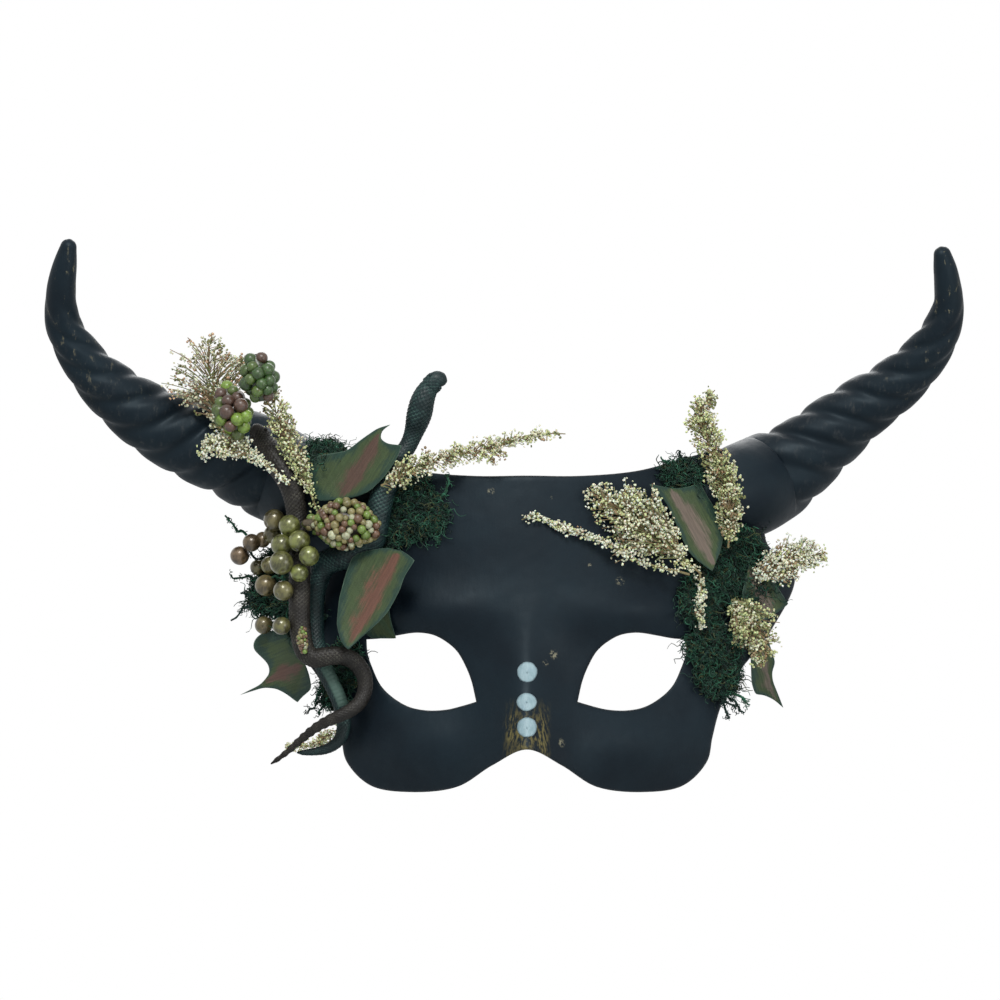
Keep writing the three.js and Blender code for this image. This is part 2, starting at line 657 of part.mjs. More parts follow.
// Berries from the back of the bunch to the front: [x, z, radius].
const berryPlaces = [
  [-96, 51.4, 3.4], [-101.6, 39, 3], [-97.1, 39.8, 3.4], [-103.9, 48.4, 3.4], [-99.8, 49.5, 3],
  [-81.8, 43.5, 3.8], [-85.5, 49.1, 4.1], [-95.2, 57, 4.1], [-89.2, 54.8, 4.1], [-92.2, 47.6, 4.1],
  [-108.4, 43.5, 3.6], [-92.2, 40.9, 4.5], [-85.5, 37.1, 3.4], [-98.6, 32.2, 4.1], [-91.5, 30.4, 3.8],
  [-99.4, 17.2, 3.4], [-92.2, 17.2, 3.4],
];

// Flower spikes and clusters: a route from the root, its radii along the way, and how it lies.
const spikes = {
  sprig_loop_left: [[[-69, -20.5], [-75.4, -24.8], [-80.2, -27.4], [-85.1, -28.5], [-91.1, -27.8]],
    [1.2, 2.4, 2.4, 1.6, 1], { stiff: true }],
  sprig_lace_left: [[[-106.9, 83.2], [-112.1, 89.2], [-116.2, 98.2], [-118.1, 107.2],
    [-120.4, 115.5], [-120, 122], [-117.4, 126.4]], [1, 3, 4, 7, 10.5, 9, 3], { stiff: true, flat: 0.5 }],
  sprig_tall_left: [[[-78.4, 59.2], [-82.1, 69], [-85.1, 77.2], [-88.9, 85.1], [-93, 93],
    [-95.2, 101.2], [-96, 109.5]], [0.8, 1.4, 3.6, 4, 4.6, 4.6, 2.2], { stiff: true, flat: 0.7 }],
  sprig_white_left: [[[-89.2, 70.1], [-97.1, 76.9], [-104.6, 82.1], [-112.1, 85.9], [-119.6, 84.8],
    [-122.2, 81]], [0.8, 0.9, 1.6, 4, 4, 1.8], { stiff: true, flat: 0.7 }],
  green_cluster_upper: [[[-102.4, 119.2], [-101.2, 114], [-100.1, 108], [-99, 101.7]],
    [2.2, 6.2, 6.6, 2.4], { stiff: true }],
  green_cluster_lower: [[[-113.6, 106.8], [-111.8, 101.2], [-109.9, 95.4], [-108.2, 89.4]],
    [2.2, 6.2, 6.8, 2.4], { stiff: true }],
  pip_sprig_left: [[[-84, 16.5], [-84.4, 12], [-83.6, 7.5]], [1, 2, 1.2], {}],
  pip_cluster: [[[-84, 56], [-78.4, 55.5], [-71, 55.6], [-63.5, 54.8], [-56, 52.9]],
    [1.6, 5, 9.4, 8.6, 3], { flat: 0.7 }],
  sprig_chain_right: [[[64.9, 36.8], [65.6, 30.8], [64.9, 23.2], [66, 16.5]], [1, 1.5, 2, 1.3], {}],
  sprig_crown_right: [[[65.6, 36.8], [58.9, 42], [50.6, 49.1], [41.6, 56.2], [31.9, 62.6], [23.5, 69.2]],
    [0.9, 3, 8.5, 12, 9, 3], { flat: 0.45 }],
  sprig_long_right: [[[61.1, 36.5], [42.4, 41.5], [28.1, 49.4], [13.9, 54], [2.6, 58.5], [-1.9, 57]],
    [0.8, 0.8, 0.8, 1.4, 1.4, 1], {}],
  sprig_column_right: [[[75.8, 46.5], [76.5, 57], [75.4, 66.4], [72.4, 76.5], [69.4, 84.4], [65.6, 93],
    [67.1, 101.2], [70.9, 105.8]], [2, 3.6, 5, 5.2, 4.8, 5, 4, 1.6], { stiff: true, flat: 0.8 }],
  sprig_temple_right: [[[86, 35], [94.1, 40.1], [100.5, 43.1], [106.9, 43.5], [112, 45]],
    [1.4, 5, 7.2, 6.6, 3], { stiff: true, flat: 0.5 }],
  sprig_cheek_right: [[[77.2, 27], [81.4, 21], [86.2, 15], [88.1, 9], [86.6, 3]],
    [2, 6, 8.4, 6.4, 2.4], { stiff: true, flat: 0.45 }],
  sprig_brow_left: [[[-54.8, 69.8], [-47.6, 73.5], [-40.1, 77.6], [-30.8, 80.6], [-21.4, 82.5],
    [-10.1, 84.8], [-2.6, 88], [6.8, 89.4], [14.6, 89.2]],
    [2, 3.4, 3.4, 3.4, 3, 3.6, 2.4, 1.6, 0.8], { stiff: true, flat: 0.8 }],
};

// ---------------------------------------------------------------- assembly
const finish = {
  paper: { color: 0x1d1f22, roughness: 0.62, metalness: 0 },
  wire: { color: 0x6d6f72, roughness: 0.4, metalness: 0.9 },
  eyelet: { color: 0x2b2a28, roughness: 0.35, metalness: 0.8 },
  dot: { color: 0xa9b3b5, roughness: 0.5, metalness: 0 },
  moss: { color: 0x2c4a33, roughness: 0.95, metalness: 0 },
  leaf: { color: 0x3c5a44, roughness: 0.7, metalness: 0 },
  teal: { color: 0x2c4b4a, roughness: 0.55, metalness: 0 },
  brown: { color: 0x4a4440, roughness: 0.6, metalness: 0 },
  berry: { color: 0x8b8f63, roughness: 0.25, metalness: 0 },
  pip: { color: 0xa7a06f, roughness: 0.35, metalness: 0 },
  green: { color: 0x6f8f3f, roughness: 0.4, metalness: 0 },
  flower: { color: 0xc9c49c, roughness: 0.9, metalness: 0 },
};
const group = new THREE.Group();

function put(name, geometry, material, at = new THREE.Vector3(), turn = new THREE.Quaternion()) {
  geometry.computeVertexNormals();
  const mesh = new THREE.Mesh(geometry, new THREE.MeshStandardMaterial(finish[material]));
  mesh.name = name;
  mesh.position.copy(at);
  mesh.quaternion.copy(turn);
  mesh.updateMatrix();
  group.add(mesh);
  placed.push(toSolid(geometry.clone().applyMatrix4(mesh.matrix)));
}

function putSolid(name, solid, material) {
  put(name, toGeometry(solid), material);
}

putSolid('mask_shell', shellSolid(), 'paper');

for (const [name, horn] of Object.entries(horns)) {
  putSolid(`horn_${name}`, hornSolid(horn), 'paper');
  put(`horn_wire_${name}`, wireGeometry(horn, wireRadius, horn.exitAt + 0.01, wireEnd), 'wire');
}

for (const [name, fitting] of Object.entries(eyelets)) {
  put(`ribbon_eyelet_${name}`, fitting.geometry, 'eyelet', fitting.at, fitting.turn);
  const { x, z } = fitting.at;
  layers.push((px, pz) => (Math.hypot(px - x, pz - z) < eyeletFlange / 2 + 0.6
    ? faceY(px, pz) - (eyeletSheet + 2 * gap + 0.25) * slopes(px, pz).secant : Infinity));
}

for (const [name, [x, z, squash]] of Object.entries(dots)) {
  const size = [x, z, dotRadius, dotRadius * squash, dotThickness];
  putSolid(name, dome(size).solid, 'dot');
}

for (const [name, domes] of Object.entries(mossBeds)) putSolid(name, mossBed(domes), 'moss');

function putLeaf(name, pose) {
  putSolid(name, leaf(leafOutlines[name], pose), 'leaf');
}

function putSpike(name, material) {
  const [route, radii, options] = spikes[name];
  putSolid(name, laidBody(route, radii, options), material);
}

putLeaf('leaf_cheek_left', { tilt: [0.1, 0], curl: 2.5 });
putLeaf('leaf_temple_left_back', { tilt: [0, 0], curl: 0.6 });
putSpike('sprig_loop_left', 'flower');

const headLift = (u) => 9 * (1 - THREE.MathUtils.smoothstep(u, 0, 0.2));
const tealRadii = snakeTealGirth.map((share) => share * snakeTealRadius);
const brownRadii = snakeBrownGirth.map((share) => share * snakeBrownRadius);
putSolid('snake_teal', laidBody(snakeTealRoute, tealRadii, { lift: headLift }), 'teal');
putSolid('snake_brown', laidBody(snakeBrownRoute, brownRadii), 'brown');

putLeaf('leaf_temple_left', { tilt: [0.12, 0.1], curl: 1.5 });
putLeaf('leaf_brow_left', { tilt: [0.05, 0.1], curl: 1.5 });
putSpike('sprig_lace_left', 'flower');
putSpike('sprig_tall_left', 'flower');
putSpike('sprig_white_left', 'flower');
putSpike('green_cluster_upper', 'green');
putSpike('green_cluster_lower', 'green');

// The bunch is filled from the back: the berry that can go furthest back is glued in next.
// Past the shell's edge a berry goes no further back than the ones beside it.
const bunchEdge = templeHalf - 12;
const berriesLeft = berryPlaces.map(([drawnX, drawnZ, r], i) => {
  const [x, z] = place(drawnX, drawnZ);
  return { x, z, r, name: `berry_${String(i + 1).padStart(2, '0')}` };
});
while (berriesLeft.length > 0) {
  const rests = berriesLeft.map(({ x, z, r }) => {
    const edge = faceY(Math.max(x, -bunchEdge), z) - r;
    return Math.min(restY(x, z, r), edge);
  });
  const pick = rests.indexOf(Math.max(...rests));
  const [{ x, z, r, name }] = berriesLeft.splice(pick, 1);
  const geometry = new THREE.SphereGeometry(r, 8, 6);
  const at = new THREE.Vector3(x, rests[pick], z);
  at.y += seat(toSolid(geometry).translate([at.x, at.y, at.z]));
  balls.push({ at, r });
  put(name, geometry, 'berry', at);
}

putSpike('pip_sprig_left', 'pip');
putSpike('pip_cluster', 'pip');
putLeaf('leaf_brow_right', { tilt: [0, 0.05], curl: 1.5 });
putLeaf('leaf_temple_right', { tilt: [0, 0], curl: 1 });
putLeaf('leaf_cheek_right', { tilt: [-0.2, 0], curl: 1.5 });
for (const name of ['chain_right', 'crown_right', 'long_right', 'column_right', 'temple_right',
  'cheek_right', 'brow_left']) putSpike(`sprig_${name}`, 'flower');

export default group;
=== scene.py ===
"""Looks of the horned masquerade half mask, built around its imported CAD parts.

The face looks along -Y, +X is on the right as one looks at the front, and +Z is up.
Sizes are in millimetres, and become metres when a mesh is built.
"""
import math

import bmesh
import bpy
import numpy as np
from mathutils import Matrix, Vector, kdtree, noise
from mathutils.geometry import delaunay_2d_cdt


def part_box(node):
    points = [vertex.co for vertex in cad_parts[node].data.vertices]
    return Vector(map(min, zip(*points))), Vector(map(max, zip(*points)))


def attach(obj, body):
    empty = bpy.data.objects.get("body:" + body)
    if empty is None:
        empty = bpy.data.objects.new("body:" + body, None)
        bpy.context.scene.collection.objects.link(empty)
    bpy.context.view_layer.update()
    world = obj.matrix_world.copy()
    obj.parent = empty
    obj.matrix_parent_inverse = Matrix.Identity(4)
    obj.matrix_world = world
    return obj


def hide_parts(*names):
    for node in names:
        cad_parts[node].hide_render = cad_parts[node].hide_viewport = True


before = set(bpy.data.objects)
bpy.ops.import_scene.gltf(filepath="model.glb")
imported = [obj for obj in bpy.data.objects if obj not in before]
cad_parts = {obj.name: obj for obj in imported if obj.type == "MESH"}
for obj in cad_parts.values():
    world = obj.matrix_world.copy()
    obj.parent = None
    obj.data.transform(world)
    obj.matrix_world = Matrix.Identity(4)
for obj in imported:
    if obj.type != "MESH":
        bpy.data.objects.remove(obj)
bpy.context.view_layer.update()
MM = 0.001

# ---- sizes shared with the CAD face
WALL = 2.2
TEMPLE_HALF = 101.6
CROWN_HEIGHT = 76
CHEEK_DROP = 45.4
BOW = 50
FOREHEAD_LEAN = 9
CHEEK_TUCK = 5
NOSE_RISE = 22
NOSE_TOP = 45
NOSE_END = 29
BROW_RISE = 4
CHEEK_RISE = 6
SOCKET_DIP = 3
EYE_SPACING = 79.4
EYE_WIDTH = 41.3
EYE_HEIGHT = 29.2
HORN_SINK = 4
RIDGE_PITCH = 15
RIDGE_DEPTH = 0.125
HORN_STRANDS = 4
HORN_FORWARD = 28
HORN_REACH = {"right": 72.6, "left": 84.5}
HORN_RISE = {"right": 88.6, "left": 91.5}
EYELET_PLACE = (81.5, 26)
EYELET_BORE = 4.5
EYELET_BARREL = 5.5
EYELET_FLANGE = 9.2
EYELET_SHEET = 0.6
GLUE_GAP = 0.3

# How steeply the flanks of the nose fall. The CAD has 2.4, so these flanks lie up to 2.2 mm off it.
NOSE_FALL = 1.7

OUTLINE_HALF = [
    (0, 73.7), (20, 73.6), (42, 75.6), (62, 81), (74, 83.6), (83, 80.5), (88, 72),
    (89.5, 58), (91, 48), (96, 43), (101.6, 35.2), (92, 14.6), (79, -2), (73, -14),
    (70, -25), (68, -34), (59, -43), (44, -45.4), (26, -43.2), (13, -35), (0, -28.9),
]
# One eye opening as shares of its width and height: the lower lid, then the upper lid.
LOWER_LID = [
    (-0.5, -0.385), (-0.37, -0.44), (-0.24, -0.485), (-0.07, -0.5), (0.1, -0.46),
    (0.25, -0.345), (0.365, -0.19), (0.445, 0.04), (0.49, 0.23), (0.5, 0.41),
]
UPPER_LID = [
    (0.5, 0.41), (0.365, 0.425), (0.225, 0.462), (0.045, 0.5), (-0.1, 0.475), (-0.21, 0.4),
    (-0.32, 0.27), (-0.4, 0.08), (-0.455, -0.115), (-0.5, -0.385),
]


# ---- numbers and curves
def unit(vectors):
    length = np.linalg.norm(vectors, axis=-1, keepdims=True)
    return vectors / np.maximum(length, 1e-9)


def smooth(low, high, value):
    share = np.clip((value - low) / (high - low), 0, 1)
    return share * share * (3 - 2 * share)


def bump(distance, width):
    return np.exp(-((distance / width) ** 2))


def ripple(points, size, seed=0.0):
    """Smooth noise from about -1 to 1 at each point, with features of that size."""
    shift = Vector((seed, 2 * seed, 3 * seed))
    return np.array([noise.noise(Vector(p) / size + shift) for p in points])


def even(points, step):
    """The same line with points about a step apart."""
    gaps = np.linalg.norm(np.diff(points, axis=0), axis=1)
    along = np.concatenate([[0], np.cumsum(gaps)])
    count = max(2, round(along[-1] / step) + 1)
    places = np.linspace(0, along[-1], count)
    return np.stack([np.interp(places, along, column) for column in points.T], axis=1)


def spline(points, step, closed=False):
    """An evenly spaced centripetal Catmull-Rom curve through the points."""
    points = np.asarray(points, float)
    if closed:
        padded = np.concatenate([points[-1:], points, points[:2]])
    else:
        first = 2 * points[0] - points[1]
        last = 2 * points[-1] - points[-2]
        padded = np.concatenate([[first], points, [last]])
    pieces = []
    for p0, p1, p2, p3 in zip(padded, padded[1:], padded[2:], padded[3:]):
        t1 = max(np.linalg.norm(p1 - p0), 1e-6) ** 0.5
        t2 = t1 + max(np.linalg.norm(p2 - p1), 1e-6) ** 0.5
        t3 = t2 + max(np.linalg.norm(p3 - p2), 1e-6) ** 0.5
        t = np.linspace(t1, t2, 16, endpoint=False)[:, None]
        a1 = (t1 - t) / t1 * p0 + t / t1 * p1
        a2 = (t2 - t) / (t2 - t1) * p1 + (t - t1) / (t2 - t1) * p2
        a3 = (t3 - t) / (t3 - t2) * p2 + (t - t2) / (t3 - t2) * p3
        b1 = (t2 - t) / t2 * a1 + t / t2 * a2
        b2 = (t3 - t) / (t3 - t1) * a2 + (t - t1) / (t3 - t1) * a3
        pieces.append((t2 - t) / (t2 - t1) * b1 + (t - t1) / (t2 - t1) * b2)
    end = points[:1] if closed else points[-1:]
    return even(np.concatenate(pieces + [end]), step)


def inside(loop, points):
    """True for each point that lies inside the closed flat loop."""
    x, z = points[:, 0], points[:, 1]
    hit = np.zeros(len(points), bool)
    for (ax, az), (bx, bz) in zip(loop, np.roll(loop, -1, axis=0)):
        crosses = (az > z) != (bz > z)
        if crosses.any():
            hit ^= crosses & (x < (bx - ax) * (z - az) / (bz - az + 1e-12) + ax)
    return hit


def distance_to(line, points):
    """How far each flat point is from a closely sampled line."""
    tree = kdtree.KDTree(len(line))
    for i, (x, z) in enumerate(line):
        tree.insert((x, 0, z), i)
    tree.balance()
    return np.array([tree.find((x, 0, z))[2] for x, z in points])


def carried(centres):
    """Two directions across a line at each of its points, carried along without a twist."""
    tangents = unit(np.gradient(centres, axis=0))
    across = np.zeros_like(tangents)
    guess = np.cross(tangents[0], (0.0, 1.0, 0.0))
    if np.linalg.norm(guess) < 0.2:
        guess = np.cross(tangents[0], (1.0, 0.0, 0.0))
    for i, tangent in enumerate(tangents):
        guess = guess - tangent * (guess @ tangent)
        guess = guess / np.linalg.norm(guess)
        across[i] = guess
    return tangents, across, np.cross(tangents, across)


# ---- reading the CAD parts
def cad_mesh(node):
    """Corners in millimetres and triangles of a CAD node, with shared corners merged."""
    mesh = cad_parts[node].data
    points = np.empty(3 * len(mesh.vertices))
    mesh.vertices.foreach_get("co", points)
    mesh.calc_loop_triangles()
    triangles = np.array([t.vertices[:] for t in mesh.loop_triangles])
    rounded = np.round(points.reshape(-1, 3) / MM, 2)
    merged, where = np.unique(rounded, axis=0, return_inverse=True)
    a, b, c = where.reshape(-1)[triangles].T
    return merged, np.column_stack([a, b, c])[(a != b) & (b != c) & (c != a)]


def middle(node):
    low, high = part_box(node)
    return np.array((low + high) / 2) / MM


def rings(node, start):
    """Centres and radii of the rings that a lofted CAD node is made of, from the end near start."""
    points, triangles = cad_mesh(node)
    beside = [set() for _ in points]
    for triangle in triangles:
        for corner in triangle:
            beside[corner].update(triangle)
    order = np.argsort(np.linalg.norm(points[:, [0, 2]] - np.array(start), axis=1))
    for tip in order:
        levels = [[tip]]
        seen = {tip}
        while levels[-1]:
            found = set().union(*(beside[i] for i in levels[-1])) - seen
            seen |= found
            levels.append(sorted(found))
        levels.pop()
        if len(levels[-1]) == 1 and len({len(level) for level in levels[1:-1]}) == 1:
            break
    else:
        raise ValueError(f"{node} isn't a loft")
    centres = np.array([points[level].mean(axis=0) for level in levels[1:-1]])
    radii = np.array([
        np.linalg.norm(points[level] - centre, axis=1).max()
        for level, centre in zip(levels[1:-1], centres)])
    return centres, radii


# The gap between two points of the centre line of a sprig or a cluster.
SPRIG_STEP = 0.5


def lofted(node, start, step):
    """The centre line of a lofted CAD node, with points about a step apart, and its radii."""
    centres, radii = rings(node, start)
    line = spline(centres, step)
    places = np.linspace(0, 1, len(line))
    return line, np.interp(places, np.linspace(0, 1, len(radii)), radii)


# ---- meshes
class Bundle:
    """Pieces gathered into one mesh, with a colour and a guide value set at each vertex."""

    def __init__(self):
        self.points = []
        self.faces = []
        self.tints = []
        self.guides = []
        self.count = 0

    def add(self, points, faces, tint=(1, 1, 1), guide=(0, 0, 0)):
        points = np.asarray(points, float).reshape(-1, 3)
        for group in faces if isinstance(faces, list) else [faces]:
            self.faces.append(np.asarray(group, int) + self.count)
        self.points.append(points)
        self.tints.append(np.broadcast_to(np.asarray(tint, float), points.shape))
        self.guides.append(np.broadcast_to(np.asarray(guide, float), points.shape))
        self.count += len(points)

    def build(self, name, material, slot, *nodes):
        mesh = bpy.data.meshes.new(name)
        points = np.concatenate(self.points) * MM
        sizes = np.concatenate([np.full(len(f), f.shape[1]) for f in self.faces])
        corners = np.concatenate([f.ravel() for f in self.faces])
        mesh.vertices.add(len(points))
        mesh.vertices.foreach_set("co", points.ravel())
        mesh.loops.add(len(corners))
        mesh.loops.foreach_set("vertex_index", corners)
        mesh.polygons.add(len(sizes))
        mesh.polygons.foreach_set("loop_start", np.cumsum(sizes) - sizes)
        mesh.polygons.foreach_set("use_smooth", np.ones(len(sizes), bool))
        mesh.update(calc_edges=True)
        tint = mesh.attributes.new("tint", "FLOAT_COLOR", "POINT")
        colours = np.column_stack([np.concatenate(self.tints), np.ones(len(points))])
        tint.data.foreach_set("color", colours.ravel())
        guide = mesh.attributes.new("guide", "FLOAT_VECTOR", "POINT")
        guide.data.foreach_set("vector", np.concatenate(self.guides).ravel())
        mesh.materials.append(material)
        piece = bpy.data.objects.new(name, mesh)
        bpy.context.scene.collection.objects.link(piece)
        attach(piece, "root")
        if nodes:
            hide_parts(*nodes)
        return piece


def grid_faces(rows, columns, wrap=True):
    """Quads of a grid of rows, each row a ring where wrap is true."""
    across = columns if wrap else columns - 1
    i, j = np.meshgrid(np.arange(rows - 1), np.arange(across), indexing="ij")
    right = (j + 1) % columns
    quads = [i * columns + j, (i + 1) * columns + j, (i + 1) * columns + right, i * columns + right]
    return np.stack(quads, axis=-1).reshape(-1, 4)


def capped(rows, columns):
    """Faces of a grid of rings with a fan at each end: its last two points are the fans' middles."""
    first = rows * columns
    ring = np.arange(columns)
    after = (ring + 1) % columns
    end = (rows - 1) * columns
    fans = np.concatenate([
        np.column_stack([np.full(columns, first), ring, after]),
        np.column_stack([np.full(columns, first + 1), end + after, end + ring])])
    return [grid_faces(rows, columns), fans]


def tube(centres, radii, sides, relief=None, squash=None):
    """A closed tube of one grid of rings. relief and squash change its radius and its height."""
    _, across, up = carried(centres)
    angle = 2 * np.pi * np.arange(sides) / sides
    radius = np.asarray(radii)[:, None] * np.ones(sides)
    if relief is not None:
        radius = radius + relief
    tall = np.ones(len(centres)) if squash is None else squash
    side = (radius * np.cos(angle))[..., None] * across[:, None]
    rise = (radius * np.sin(angle) * tall[:, None])[..., None] * up[:, None]
    skin = centres[:, None] + side + rise
    points = np.concatenate([skin.reshape(-1, 3), centres[:1], centres[-1:]])
    return points, capped(len(centres), sides)


def threads(bundle, paths, radii, tints, sides=4):
    """Many thin tubes at once: paths is threads by points by 3, radii is threads by points."""
    count, length = paths.shape[:2]
    tangents = unit(np.gradient(paths, axis=1))
    guess = np.cross(tangents, np.array([0.31, 0.42, 0.85]))
    across = unit(guess)
    up = np.cross(tangents, across)
    angle = 2 * np.pi * np.arange(sides) / sides
    ring = (np.cos(angle)[:, None] * across[:, :, None] + np.sin(angle)[:, None] * up[:, :, None])
    skin = paths[:, :, None] + ring * radii[:, :, None, None]
    faces = grid_faces(length, sides)
    each = length * sides
    every = (faces[None] + each * np.arange(count)[:, None, None]).reshape(-1, 4)
    bundle.add(skin, every, np.repeat(tints, each, axis=0))


def ball(level):
    """Corners and triangles of a round ball of radius 1."""
    mesh = bmesh.new()
    bmesh.ops.create_icosphere(mesh, subdivisions=level, radius=1)
    points = np.array([v.co[:] for v in mesh.verts])
    faces = np.array([[v.index for v in f.verts] for f in mesh.faces])
    mesh.free()
    return points, faces


def turns(rng, count):
    """Random rotations, as matrices."""
    a, b, c, d = unit(rng.normal(size=(count, 4))).T
    rows = [
        [1 - 2 * (c * c + d * d), 2 * (b * c - d * a), 2 * (b * d + c * a)],
        [2 * (b * c + d * a), 1 - 2 * (b * b + d * d), 2 * (c * d - b * a)],
        [2 * (b * d - c * a), 2 * (c * d + b * a), 1 - 2 * (b * b + c * c)],
    ]
    return np.array(rows).transpose(2, 0, 1)


def scatter(bundle, shape, places, sizes, rotations, tints):
    """Copies of one small shape, each with its own place, size, turn and colour."""
    points, faces = shape
    spun = np.einsum("nij,pj->npi", rotations, points) * sizes[:, None, None]
    copies = spun + places[:, None]
    count = len(places)
    every = (faces[None] + len(points) * np.arange(count)[:, None, None]).reshape(-1, 3)
    bundle.add(copies, every, np.repeat(tints, len(points), axis=0))


def palette(rng, colours, weights, count, spread=0.12):
    """Colours picked from a few, each a little lighter or darker."""
    picked = np.array(colours)[rng.choice(len(colours), count, p=np.array(weights) / sum(weights))]
    return np.clip(picked * rng.normal(1, spread, (count, 1)), 0, 1)


# ---- materials
class Finish:
    """The node graph of one material, with the steps that the finishes share."""

    def __init__(self, name, **values):
        self.material = bpy.data.materials.new(name)
        self.material.use_nodes = True
        self.tree = self.material.node_tree
        self.surface = self.tree.nodes["Principled BSDF"]
        for socket, value in values.items():
            self.surface.inputs[socket.replace("_", " ")].default_value = value

    def node(self, kind, inputs=(), **settings):
        node = self.tree.nodes.new(kind)
        for key, value in settings.items():
            setattr(node, key, value)
        for key, value in dict(inputs).items():
            self.join(value, node.inputs[key])
        return node

    def join(self, value, socket):
        if isinstance(value, bpy.types.NodeSocket):
            self.tree.links.new(value, socket)
        else:
            socket.default_value = value

    def place(self):
        return self.node("ShaderNodeTexCoord").outputs["Object"]

    def stretched(self, scale):
        inputs = {"Vector": self.place(), "Scale": scale}
        return self.node("ShaderNodeMapping", inputs).outputs["Vector"]

    def noise(self, size, detail=3, rough=0.55, vector=None):
        """Noise from 0 to 1 whose features are about that many millimetres across."""
        inputs = {"Vector": vector or self.place(), "Scale": 1 / (size * MM), "Detail": detail,
                  "Roughness": rough}
        return self.node("ShaderNodeTexNoise", inputs).outputs["Fac"]

    def cells(self, size, feature="F1", vector=None):
        inputs = {"Vector": vector or self.place(), "Scale": 1 / (size * MM)}
        return self.node("ShaderNodeTexVoronoi", inputs, feature=feature).outputs["Distance"]

    def ramp(self, value, low, high, to_low=0.0, to_high=1.0):
        inputs = {"Value": value, "From Min": low, "From Max": high, "To Min": to_low, "To Max": to_high}
        return self.node("ShaderNodeMapRange", inputs, interpolation_type="SMOOTHSTEP").outputs["Result"]

    def maths(self, operation, first, second=0.0):
        node = self.node("ShaderNodeMath", operation=operation)
        self.join(first, node.inputs[0])
        self.join(second, node.inputs[1])
        return node.outputs["Value"]

    def times(self, *values):
        result = values[0]
        for value in values[1:]:
            result = self.maths("MULTIPLY", result, value)
        return result

    def mix(self, share, first, second, blend="MIX"):
        node = self.node("ShaderNodeMix", data_type="RGBA", blend_type=blend)
        self.join(share, node.inputs["Factor"])
        self.join(self.colour(first), node.inputs["A"])
        self.join(self.colour(second), node.inputs["B"])
        return node.outputs["Result"]

    def colour(self, value):
        return value if isinstance(value, bpy.types.NodeSocket) else (*value, 1)

    def attribute(self, name, output):
        return self.node("ShaderNodeAttribute", attribute_name=name).outputs[output]

    def guide(self, axis):
        split = self.node("ShaderNodeSeparateXYZ", {"Vector": self.attribute("guide", "Vector")})
        return split.outputs[axis]

    def axis(self, name):
        split = self.node("ShaderNodeSeparateXYZ", {"Vector": self.place()})
        return self.maths("DIVIDE", split.outputs[name], MM)

    def near(self, place, reach):
        """1 at a point, in millimetres, falling to 0 at reach from it."""
        node = self.node("ShaderNodeVectorMath", operation="DISTANCE")
        self.join(self.place(), node.inputs[0])
        node.inputs[1].default_value = [value * MM for value in place]
        return self.ramp(node.outputs["Value"], 0, reach * MM, 1, 0)

    def relief(self, *layers):
        """Bumps, each a height from 0 to 1 and how far it stands up, in millimetres."""
        normal = None
        for height, distance in layers:
            inputs = {"Height": height, "Distance": distance * MM, "Strength": 1.0}
            if normal is not None:
                inputs["Normal"] = normal
            normal = self.node("ShaderNodeBump", inputs).outputs["Normal"]
        self.join(normal, self.surface.inputs["Normal"])

    def finish(self, colour=None, roughness=None):
        if colour is not None:
            self.join(self.colour(colour), self.surface.inputs["Base Color"])
        if roughness is not None:
            self.join(roughness, self.surface.inputs["Roughness"])
        return self.material


def painted_paper(name, worn):
    """Matte black paint brushed over paper pulp. worn(finish, colour) adds the piece's own wear."""
    paint = Finish(name, Specular_IOR_Level=0.2, Specular_Tint=(0.75, 0.92, 1, 1))
    clouds = paint.noise(34, 4, 0.6)
    dust = paint.noise(1.1, 5, 0.75)
    colour = paint.mix(paint.ramp(clouds, 0.3, 0.72), (0.002, 0.0045, 0.008), (0.005, 0.0105, 0.0155))
    colour = paint.mix(paint.ramp(dust, 0.62, 0.82, 0, 0.5), colour, (0.03, 0.032, 0.034))
    colour = worn(paint, colour)
    rough = paint.ramp(paint.noise(9, 4, 0.6), 0.3, 0.7, 0.46, 0.57)
    brushed = paint.noise(1.4, 3, 0.5, paint.stretched((1, 1, 0.18)))
    pulp = paint.cells(5.5, "SMOOTH_F1")
    paint.relief((pulp, 0.1), (brushed, 0.05), (dust, 0.035))
    return paint.finish(colour, rough)


def shell_wear(paint, colour):
    """Old gold rubbed through under the dots, pale scratches, and a thin worn rim."""
    low = middle("nose_dot_lower")
    top = middle("nose_dot_middle")
    x = paint.axis("X")
    z = paint.axis("Z")
    streaks = paint.noise(1.1, 4, 0.7, paint.stretched((1, 1, 0.06)))
    fade = paint.ramp(paint.maths("ABSOLUTE", x), 6, 9.5, 1, 0)
    start = paint.ramp(z, top[2] + 3, low[2] - 2, 0, 1)
    hole = paint.ramp(paint.noise(7, 2), 0.35, 0.62, 0.35, 1)
    gold = paint.times(fade, start, hole, paint.ramp(streaks, 0.44, 0.6, 0, 0.85))
    front = paint.ramp(paint.guide("Y"), 0.4, 0.6, 1, 0)
    fleck = paint.noise(1.2, 4, 0.8)
    colour = paint.mix(paint.times(gold, front), colour, (0.19, 0.155, 0.055))
    for place, reach in SCRATCHES:
        here = paint.near((place[0], float(face_y(place[0], place[1])), place[1]), reach)
        mark = paint.times(paint.ramp(here, 0.2, 0.9), paint.ramp(fleck, 0.5, 0.56), front)
        colour = paint.mix(paint.times(mark, 0.8), colour, (0.27, 0.25, 0.17))
    rim = paint.times(paint.ramp(paint.guide("X"), 0.1, 0.75, 1, 0), paint.ramp(fleck, 0.46, 0.62))
    return paint.mix(paint.times(rim, 0.35), colour, (0.075, 0.066, 0.05))


